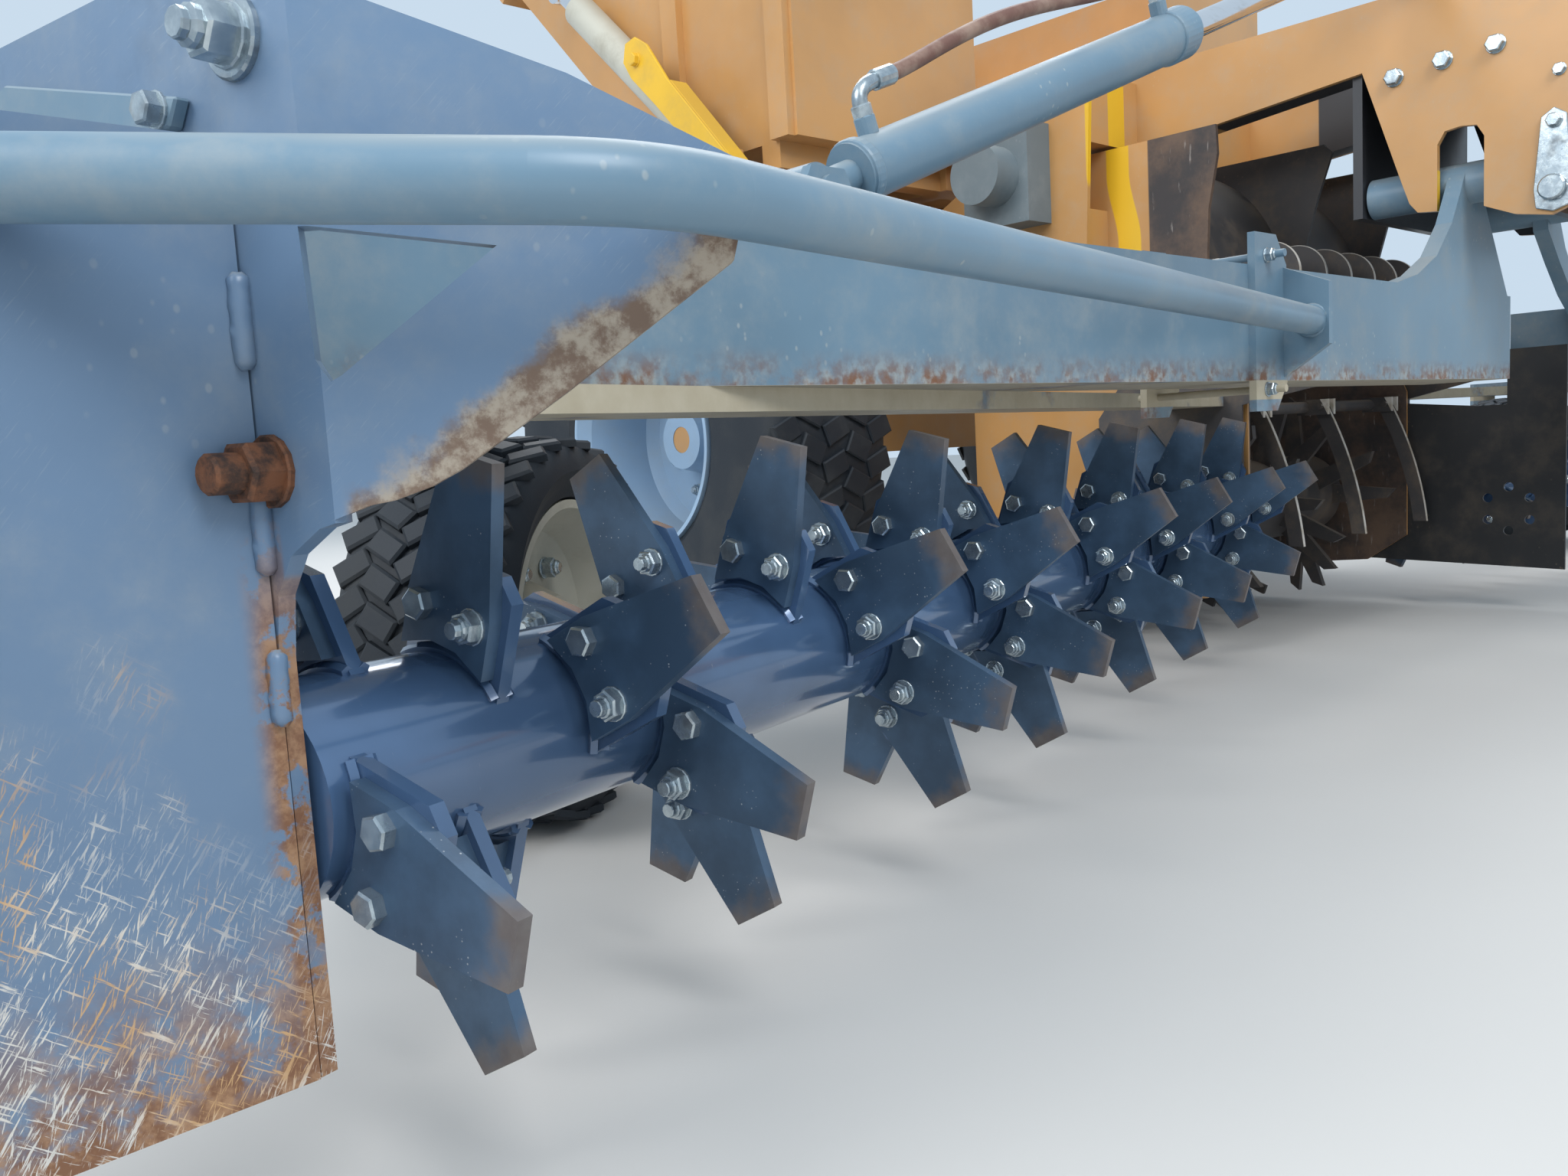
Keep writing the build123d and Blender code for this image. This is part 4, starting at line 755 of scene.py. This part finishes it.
def copies(master, frames):
    """Copies of a master at each frame, as one piece. The master is used up."""
    made = [twin_of(master, turn) for turn in frames]
    bpy.data.objects.remove(master)
    return joined(made)


def framed(origin, along, across=None):
    """A frame at origin whose Z runs along a direction and whose X keeps near another."""
    along = Vector(along).normalized()
    across = Vector(across) if across is not None else (UP if abs(along.z) < 0.9 else ACROSS)
    x = (across - along * across.dot(along)).normalized()
    turn = Matrix((x, along.cross(x), along)).transposed().to_4x4()
    return Matrix.Translation(origin) @ turn


def sharp_smooth(piece, angle):
    """Smooth shading but for edges sharper than an angle in degrees."""
    fresh()
    piece.select_set(True)
    bpy.context.view_layer.objects.active = piece
    bpy.ops.object.shade_smooth_by_angle(angle=math.radians(angle))


def outward(piece):
    """Close a piece's seams and turn its faces outward."""
    edit(piece, "FACE", lambda place, normal: True)
    bpy.ops.mesh.select_all(action="SELECT")
    bpy.ops.mesh.remove_doubles(threshold=0.00002)
    bpy.ops.mesh.normals_make_consistent(inside=False)
    return done()


def settle(piece, name, body, look):
    """Name a finished piece, paint it and set it on its body."""
    piece.name = name
    piece.data.name = name
    piece.data.materials.clear()
    piece.data.materials.append(finish(look))
    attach(piece, body)
    return piece


def pair(piece, name, body, look):
    """The right side's piece, and its mirror image on the left. The chassis is one body for both."""
    twin = twin_of(piece, Matrix.Diagonal((-1, 1, 1, 1)))
    twin.data.flip_normals()
    bodies = ("chassis", "chassis") if body == "chassis" else (body + "_right", body + "_left")
    return (
        settle(piece, name + "_right", bodies[0], look),
        settle(twin, name + "_left", bodies[1], look),
    )


def hex_head(size, height, washer=True):
    """A bolt's head with its washer, standing up from Z = 0. Size is over the corners."""
    thick = size * 0.1 if washer else 0.0
    head = peg(6, size / 2, height, size * 0.06, thick)
    if not washer:
        return head
    return joined([head, peg(14, size * 0.56, thick, thick * 0.3)])


def lock_nut(size, height, stud):
    """A lock nut on its washer with the bolt's end standing out of it."""
    nut = hex_head(size, height)
    top = size * 0.1 + height
    collar = peg(12, size * 0.36, height * 0.4, height * 0.14, top - height * 0.02)
    return joined([nut, collar, peg(10, size * 0.27, stud, size * 0.03, top)])


def weld_bead(start, end, radius):
    """A lumpy bead of weld from start to end."""
    start = Vector(start)
    end = Vector(end)
    length = (end - start).length
    bead = rod(7, radius, length, radius * 0.55)
    edit(bead, "EDGE", lambda place, line: abs(line.z) > 0.9)
    bpy.ops.mesh.subdivide(number_cuts=max(3, int(length / 0.006)))
    done()
    grain = bpy.data.textures.new("weld grain", "CLOUDS")
    grain.noise_scale = radius * 1.3
    lumps = bead.modifiers.new("Lumps", "DISPLACE")
    lumps.texture = grain
    lumps.strength = radius * 0.6
    lumps.mid_level = 0.5
    bpy.ops.object.modifier_apply(modifier="Lumps")
    return placed(bead, framed((start + end) / 2, end - start))


def weld_ring(major, minor, around, across):
    """A ring of weld about Z, by the steps around it and across it."""
    fresh()
    bpy.ops.mesh.primitive_torus_add(
        major_radius=major, minor_radius=minor, major_segments=around, minor_segments=across
    )
    return bpy.context.object


def plate(points, thick, turn, edge=0.0015):
    """A flat plate from its outline, standing up from the XY plane of a frame."""
    fresh()
    mesh = bpy.data.meshes.new("plate")
    mesh.from_pydata([(x, y, 0) for x, y in points], [], [list(range(len(points)))])
    piece = added("plate", mesh)
    edit(piece, "FACE", lambda place, normal: True)
    bpy.ops.mesh.extrude_region_move(TRANSFORM_OT_translate={"value": (0, 0, thick)})
    bpy.ops.mesh.select_all(action="SELECT")
    bpy.ops.mesh.normals_make_consistent(inside=False)
    done()
    return placed(bevel_edges(piece, edge), turn)


def hose(points, radius):
    """A hose on one smooth line, as a mesh."""
    fresh()
    curve = bpy.data.curves.new("hose", "CURVE")
    curve.dimensions = "3D"
    line = curve.splines.new("NURBS")
    line.points.add(len(points) - 1)
    for point, place in zip(line.points, points):
        point.co = (*place, 1.0)
    line.order_u = 4
    line.use_endpoint_u = True
    line.resolution_u = 6
    curve.bevel_depth = radius
    curve.bevel_resolution = 2
    curve.use_fill_caps = True
    piece = added("hose", curve)
    piece.select_set(True)
    bpy.context.view_layer.objects.active = piece
    bpy.ops.object.convert(target="MESH")
    return outward(bpy.context.object)


def tooth_places():
    """Station and angle of every tooth on the right rotor."""
    for helix in (0, 1):
        for count in range(TEETH_IN_HELIX):
            angle = math.radians(FIRST_ANGLE + SECOND_HELIX_ANGLE * helix - TURN_PER_TOOTH * count)
            yield FIRST_TOOTH + TOOTH_STEP * (count + helix / 2), angle


def spoke(angle):
    """Outward along a radius, and on round the axis."""
    radial = FORE * math.cos(angle) + UP * math.sin(angle)
    onward = UP * math.cos(angle) - FORE * math.sin(angle)
    return radial, onward


# ---- operators


class STONEPICKER_OT_tooth_bolts(bpy.types.Operator):
    """Bolt each tooth to its bracket with two crossed bolts and lock nuts"""

    bl_idname = "stone_picker.tooth_bolts"
    bl_label = "Tooth bolts"

    def execute(self, context):
        sizes = picker().fasteners
        heads = []
        nuts = []
        for station, angle in tooth_places():
            radial, onward = spoke(angle)
            for way in (1, -1):
                spread = onward * (sizes.bolt_spread * way)
                outer = rotor_point(station - PLATE_T) + radial * sizes.bolt_radius + spread
                inner = outer + INWARD * (2 * PLATE_T)
                spin = radial if way > 0 else onward
                # No stud has room between the first tooth and the bearing plate.
                head_outside = way > 0 or station == FIRST_TOOTH
                (heads if head_outside else nuts).append(framed(outer, -INWARD, spin))
                (nuts if head_outside else heads).append(framed(inner, INWARD, spin))
        pieces = [
            copies(hex_head(sizes.tooth_bolt, 0.010, False), heads),
            copies(lock_nut(sizes.tooth_bolt, 0.009, 0.009), nuts),
        ]
        pair(joined(pieces), "tooth_bolts", "rotor", "zinc")
        return {"FINISHED"}


class STONEPICKER_OT_bracket_welds(bpy.types.Operator):
    """Run a weld along both sides of each bracket's foot"""

    bl_idname = "stone_picker.bracket_welds"
    bl_label = "Bracket welds"

    def execute(self, context):
        ring = weld_ring(ROTOR_R + 0.0015, picker().fasteners.weld, 54, 5)
        # Only the arc under a bracket's foot stays, closed at its ends.
        half_arc = math.radians(40)
        edit(ring, "FACE", lambda place, normal: abs(math.atan2(place.y, place.x)) > half_arc)
        bpy.ops.mesh.delete(type="FACE")
        bpy.ops.mesh.select_mode(type="EDGE")
        bpy.ops.mesh.select_non_manifold()
        bpy.ops.mesh.fill_holes(sides=0)
        done()
        outward(ring)
        turns = []
        for station, angle in tooth_places():
            radial, onward = spoke(angle)
            for s in (station - 0.001, station + PLATE_T + 0.001):
                turns.append(framed(rotor_point(s), INWARD, radial))
        beads = copies(ring, turns)
        sharp_smooth(beads, 60)
        pair(beads, "bracket_welds", "rotor", "rotor_gloss")
        return {"FINISHED"}


class STONEPICKER_OT_guard_hardware(bpy.types.Operator):
    """Fit the guard's lap plate, pin nut, bolts and seam welds"""

    bl_idname = "stone_picker.guard_hardware"
    bl_label = "Guard hardware"

    def execute(self, context):
        out = -INWARD
        lap = plate(
            [
                (-0.300, 0.455), (-0.168, 0.487), (0.032, 0.440),
                (0.021, 0.424), (-0.176, 0.440), (-0.300, 0.420),
            ],
            0.010,
            framed(rotor_point(0), out, FORE),
        )
        pair(lap, "guard_lap_plate", "arm", "arm_paint")
        pin = (0.081, 0.465)
        zinc = [
            placed(lock_nut(0.034, 0.018, 0.012), framed(rotor_point(-0.004, *pin), out, UP)),
            placed(peg(28, 0.0245, 0.005, 0.0015), framed(rotor_point(0, *pin), out, UP)),
            placed(hex_head(0.021, 0.010), framed(rotor_point(-0.010, 0.011, 0.436), out, UP)),
        ]
        pair(joined(zinc), "guard_pin_nut", "arm", "zinc")
        bolt = joined([hex_head(0.040, 0.020), peg(14, 0.0125, 0.042, 0.002, 0.001)])
        pair(placed(bolt, framed(rotor_point(0, 0.075, 0.216), out, UP)), "guard_bolt", "arm", "rusty")
        x, y = 2.8395, 1.1755 - SHIFT
        heights = ((0.585, 0.642), (0.462, 0.512), (0.368, 0.415))
        seam = joined([weld_bead((x, y, low), (x, y, high), 0.0065) for low, high in heights])
        sharp_smooth(seam, 60)
        pair(seam, "guard_seam_welds", "arm", "guard_paint")
        return {"FINISHED"}


class STONEPICKER_OT_clamp_hardware(bpy.types.Operator):
    """Put washers and nuts on the clamp's two rods, and a weld round the guard tube's foot"""

    bl_idname = "stone_picker.clamp_hardware"
    bl_label = "Clamp hardware"

    def execute(self, context):
        pieces = []
        for z in (0.571, 0.779):
            for y, way in ((1.012, 1), (0.808, -1)):
                at = framed((1.198, y - SHIFT, z), (0, way, 0))
                pieces.append(placed(lock_nut(0.0215, 0.010, 0.010), at))
        pair(joined(pieces), "clamp_nuts", "arm", "zinc")
        place = TUBE_FOOT + TUBE_LINE * ((TUBE_WELD_X - TUBE_FOOT.x) / TUBE_LINE.x)
        ring = placed(weld_ring(0.0225, 0.0045, 28, 8), framed(place, TUBE_LINE))
        sharp_smooth(ring, 60)
        pair(ring, "guard_tube_weld", "arm", "arm_paint")
        return {"FINISHED"}


class STONEPICKER_OT_box_hardware(bpy.types.Operator):
    """Bolt the front box's cheeks and hold the arm pins with keeper plates"""

    bl_idname = "stone_picker.box_hardware"
    bl_label = "Box hardware"

    def execute(self, context):
        pieces = []
        for y, z, size in (
            (0.872, 1.215, 0.034), (0.967, 1.226, 0.034), (1.064, 1.232, 0.034), (1.175, 1.157, 0.022),
        ):
            at = framed((CHEEK_X, y - SHIFT, z), ACROSS, UP)
            pieces.append(placed(hex_head(size, size * 0.42), at))
        keeper = plate(
            [
                (-0.030, -0.035), (0.0, -0.045), (0.030, -0.035), (0.034, 0.0),
                (0.022, 0.135), (0.0, 0.150), (-0.022, 0.135), (-0.034, 0.0),
            ],
            0.008,
            framed((CHEEK_X, 1.168 - SHIFT, PIVOT_Z), ACROSS, Vector((0, 1, 0))),
        )
        pin = hex_head(0.052, 0.004, False)
        cap = peg(24, 0.024, 0.012, 0.003)
        for item, lift in ((pin, 0.008), (cap, 0.010)):
            pieces.append(placed(item, framed((CHEEK_X + lift, 1.168 - SHIFT, PIVOT_Z), ACROSS, UP)))
        head = placed(hex_head(0.026, 0.011), framed((CHEEK_X + 0.008, 1.169 - SHIFT, 1.063), ACROSS, UP))
        pieces += [keeper, head]
        pair(joined(pieces), "box_bolts", "chassis", "zinc")
        return {"FINISHED"}


class STONEPICKER_OT_tyres(bpy.types.Operator):
    """Mould the tyres with their tread blocks and rounded sidewalls"""

    bl_idname = "stone_picker.tyres"
    bl_label = "Tyres"

    def carcass(self, radius, width, rim):
        """A tyre about the Z axis, spun from half a section and its mirror."""
        crown = radius - 0.011
        half = [
            (rim, 0.36 * width),
            (rim + 0.004, 0.42 * width),
            (rim + 0.016, 0.435 * width),
            (rim + 0.022, 0.455 * width),
            ((rim + crown) / 2, 0.498 * width),
            (crown - 0.034, 0.49 * width),
            (crown - 0.010, 0.455 * width),
            (crown - 0.002, 0.40 * width),
            (crown, 0.20 * width),
        ]
        section = half + [(r, -w) for r, w in reversed(half)]
        mesh = bpy.data.meshes.new("tyre")
        count = len(section)
        mesh.from_pydata([(r, 0, w) for r, w in section], [(i, (i + 1) % count) for i in range(count)], [])
        tyre = added("tyre", mesh)
        edit(tyre, "EDGE", lambda place, line: True)
        bpy.ops.mesh.spin(steps=96, angle=math.tau, center=(0, 0, 0), axis=(0, 0, 1), use_auto_merge=True)
        done()
        outward(tyre)
        sharp_smooth(tyre, 40)
        return tyre

    def tread(self, radius, rows, count, block, lean):
        """Chamfered blocks in rows round the crown, each turned by its lean in degrees."""
        long, wide, high = block
        brick = bar((high, long, wide), (radius - high / 2, 0, 0))
        bevel_edges(brick, 0.0035, lambda place, line: place.x > radius - 0.001)
        turns = []
        for row, (place, drop, way) in enumerate(rows):
            at = Matrix.Translation((-drop, 0, place)) @ Matrix.Translation((radius, 0, 0))
            at = at @ Matrix.Rotation(math.radians(lean * way), 4, "X") @ Matrix.Translation((-radius, 0, 0))
            for n in range(count):
                angle = math.tau * (n + 0.5 * (row % 2)) / count
                turns.append(Matrix.Rotation(angle, 4, "Z") @ at)
        return copies(brick, turns)

    def execute(self, context):
        tyres = picker().tyres
        for kind, body, place, axle, radius, width, rim, middle, shoulder, count, block, lean in (
            ("caster", "caster_wheel", CASTER_HUB, CASTER_AXLE, 0.280, 0.250, 0.186,
             0.046, 0.092, tyres.caster_blocks, (0.034, 0.052, 0.013), 32),
            ("main", "wheel", MAIN_HUB, ACROSS, 0.560, 0.400, 0.286,
             0.078, 0.155, tyres.main_blocks, (0.054, 0.076, 0.014), 24),
        ):
            # Each row's place across the tread, its drop below the crown and the way it leans
            rows = (
                (-shoulder, 0.006, 1), (-middle, 0.0005, -1), (0.0, 0.0005, 1),
                (middle, 0.0005, -1), (shoulder, 0.006, 1),
            )
            tread = self.tread(radius - 0.0006, rows, count, block, lean)
            tyre = placed(joined([self.carcass(radius, width, rim), tread]), framed(place, axle))
            pieces = pair(tyre, kind + "_tread_tyre", body, "rubber")
            for piece, side in zip(pieces, ("_right", "_left")):
                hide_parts(kind + "_tyre" + side)
        return {"FINISHED"}


class STONEPICKER_OT_wheel_nuts(bpy.types.Operator):
    """Put a ring of nuts on each wheel's disc"""

    bl_idname = "stone_picker.wheel_nuts"
    bl_label = "Wheel nuts"

    def execute(self, context):
        for name, body, hub, axle, ring, count in (
            ("main_wheel_nuts", "wheel", MAIN_NUTS, ACROSS, 0.150, 8),
            ("caster_wheel_nuts", "caster_wheel", CASTER_NUTS, -CASTER_AXLE, 0.098, 6),
        ):
            onward = axle.cross(UP)
            frames = []
            for n in range(count):
                angle = math.tau * (n + 0.5) / count
                radial = UP * math.cos(angle) + onward * math.sin(angle)
                frames.append(framed(hub + radial * ring, axle, radial))
            nuts = copies(lock_nut(0.030, 0.016, 0.008), frames)
            pair(nuts, name, body, "zinc")
        return {"FINISHED"}


class STONEPICKER_OT_hopper_props(bpy.types.Operator):
    """Hang the yellow safety props on the tip cylinders"""

    bl_idname = "stone_picker.hopper_props"
    bl_label = "Hopper props"

    def execute(self, context):
        turn = framed(PROP_FOOT, ACROSS, PROP_LINE.normalized().cross(ACROSS))
        outline = [
            (-0.030, -0.020), (0.030, -0.020), (0.036, 0.300), (0.052, 0.420), (0.040, 0.470),
            (0.008, 0.492), (-0.030, 0.470), (-0.040, 0.420), (-0.034, 0.300),
        ]
        flange = [(-0.030, -0.020), (-0.022, -0.020), (-0.026, 0.300), (-0.034, 0.300)]
        other = [(0.022, -0.020), (0.030, -0.020), (0.036, 0.300), (0.028, 0.300)]
        below = turn @ Matrix.Translation((0, 0, -0.050))
        pieces = [plate(outline, 0.008, turn), plate(flange, 0.050, below), plate(other, 0.050, below)]
        pieces.append(placed(hex_head(0.030, 0.012), turn @ Matrix.Translation((0.004, 0.430, 0.008))))
        pair(joined(pieces), "hopper_prop", "tip_barrel", "yellow")
        return {"FINISHED"}


class STONEPICKER_OT_cylinder_fittings(bpy.types.Operator):
    """Give the fold cylinders their end rings, ports and hose"""

    bl_idname = "stone_picker.cylinder_fittings"
    bl_label = "Cylinder fittings"

    def execute(self, context):
        along = (FOLD_HEAD - FOLD_FOOT).normalized()
        lift = (UP - along * UP.dot(along)).normalized()

        def spot(reach, rise=0.0):
            """A point along the cylinder from its foot, and above it."""
            return FOLD_FOOT + along * reach + lift * rise

        pieces = [
            placed(rod(32, FOLD_BARREL_R, 0.055, 0.004, 2), framed(spot(0.868), along)),
            placed(rod(32, FOLD_BARREL_R, 0.018, 0.004, 2), framed(spot(0.090), along)),
        ]
        for reach in FOLD_PORTS:
            pieces.append(placed(peg(16, 0.013, 0.022, 0.002, -0.011), framed(spot(reach, 0.046), lift)))
        pair(joined(pieces), "fold_cylinder_ends", "fold_barrel", "arm_paint")
        fittings = []
        # The elbows bend toward each other.
        for reach, way in zip(FOLD_PORTS, (1, -1)):
            base = spot(reach, 0.056)
            bend = base + lift * 0.034
            elbow = [base + lift * rise for rise in (0.010, 0.028)]
            elbow += [bend + along * (run * way) for run in (0.012, 0.040)]
            fittings += [
                placed(hex_head(0.026, 0.014, False), framed(base, lift, along)),
                hose(elbow, 0.0095),
                placed(rod(14, 0.0125, 0.034, 0.0015), framed(bend + along * (0.052 * way), along)),
            ]
        pair(joined(fittings), "hose_fittings", "fold_barrel", "zinc")
        low, high = spot(0.195, 0.090), spot(0.780, 0.090)
        run = []
        for share, rise in (
            (0, 0), (0.06, 0.001), (0.2, 0.012), (0.4, 0.020),
            (0.6, 0.016), (0.8, 0.006), (0.94, 0.001), (1, 0),
        ):
            run.append(low + (high - low) * share + lift * rise)
        pair(hose(run, 0.0098), "fold_hose", "fold_barrel", "hose")
        return {"FINISHED"}


class STONEPICKER_OT_stage(bpy.types.Operator):
    """Set the floor, the lamps and the camera"""

    bl_idname = "stone_picker.stage"
    bl_label = "Set the stage"

    def lay_floor(self, colour):
        """A pale floor under the wheels."""
        bpy.ops.object.select_all(action="DESELECT")
        bpy.ops.mesh.primitive_plane_add(size=60, location=(0, 0, 0))
        floor = bpy.context.object
        floor.name = "floor"
        f = Finish("Pale floor")
        tint = f.mix(f.noise(3, 5), scaled(colour, 0.97), colour)
        floor.data.materials.append(f.set(tint, 0.85))

    def light(self, scene):
        """A soft sky and three lamps."""
        world = bpy.data.worlds.new("Soft sky")
        scene.world = world
        world.use_nodes = True
        sky = world.node_tree.nodes["Background"].inputs
        sky["Color"].default_value = (0.70, 0.85, 1.0, 1.0)
        sky["Strength"].default_value = 0.85
        for name, place, aim, size, power in (
            ("high lamp", (3.5, 5.6, 6.5), (1.6, -0.1, 0.4), 4.0, 420),
            ("back lamp", (-2.0, -4.9, 6.0), (1.5, -0.4, 0.6), 5.0, 350),
            ("side lamp", (7.0, -0.9, 4.0), (1.8, -0.1, 0.4), 3.0, 200),
        ):
            data = bpy.data.lights.new(name, "AREA")
            data.size = size
            data.energy = power
            lamp = added(name, data)
            lamp.location = place
            lamp.rotation_euler = (Vector(aim) - Vector(place)).to_track_quat("-Z", "Y").to_euler()

    def aim_camera(self, scene, stage):
        """The photo's camera, from its heading, pitch and roll."""
        ahead = Vector((math.cos(stage.heading), math.sin(stage.heading), 0))
        right = Vector((math.sin(stage.heading), -math.cos(stage.heading), 0))
        sight = ahead * math.cos(stage.pitch) - UP * math.sin(stage.pitch)
        down = -(UP * math.cos(stage.pitch) + ahead * math.sin(stage.pitch))
        across = right * math.cos(stage.roll) + down * math.sin(stage.roll)
        below = down * math.cos(stage.roll) - right * math.sin(stage.roll)
        data = bpy.data.cameras.new("camera")
        data.lens = stage.lens
        data.sensor_width = 36
        data.clip_start = 0.05
        camera = added("camera", data)
        turn = Matrix((across, -below, -sight)).transposed().to_4x4()
        camera.matrix_world = Matrix.Translation(stage.eye) @ turn
        scene.camera = camera
        scene.view_settings.view_transform = "Standard"

    def execute(self, context):
        stage = picker().stage
        self.lay_floor(stage.floor)
        self.light(context.scene)
        self.aim_camera(context.scene, stage)
        return {"FINISHED"}


OPERATORS = (
    STONEPICKER_OT_paint,
    STONEPICKER_OT_tooth_bolts,
    STONEPICKER_OT_bracket_welds,
    STONEPICKER_OT_guard_hardware,
    STONEPICKER_OT_clamp_hardware,
    STONEPICKER_OT_box_hardware,
    STONEPICKER_OT_tyres,
    STONEPICKER_OT_wheel_nuts,
    STONEPICKER_OT_hopper_props,
    STONEPICKER_OT_cylinder_fittings,
    STONEPICKER_OT_stage,
)


class STONEPICKER_PT_panel(bpy.types.Panel):
    """Lists the machine's pieces"""

    bl_label = "Stone picker"
    bl_idname = "STONEPICKER_PT_panel"
    bl_space_type = "VIEW_3D"
    bl_region_type = "UI"
    bl_category = "Stone picker"

    def draw(self, context):
        for operator in OPERATORS:
            self.layout.operator(operator.bl_idname)


SETTINGS = (StonePickerColours, StonePickerFasteners, StonePickerTyres, StonePickerStage, StonePicker)
CLASSES = SETTINGS + OPERATORS + (STONEPICKER_PT_panel,)


def register():
    for item in CLASSES:
        bpy.utils.register_class(item)
    bpy.types.Scene.stone_picker = PointerProperty(type=StonePicker)


def unregister():
    del bpy.types.Scene.stone_picker
    for item in reversed(CLASSES):
        bpy.utils.unregister_class(item)


def main():
    """Build everything with the add-on's operators."""
    register()
    for operator in OPERATORS:
        kind, name = operator.bl_idname.split(".")
        getattr(getattr(bpy.ops, kind), name)()


if __name__ == "__main__":
    main()
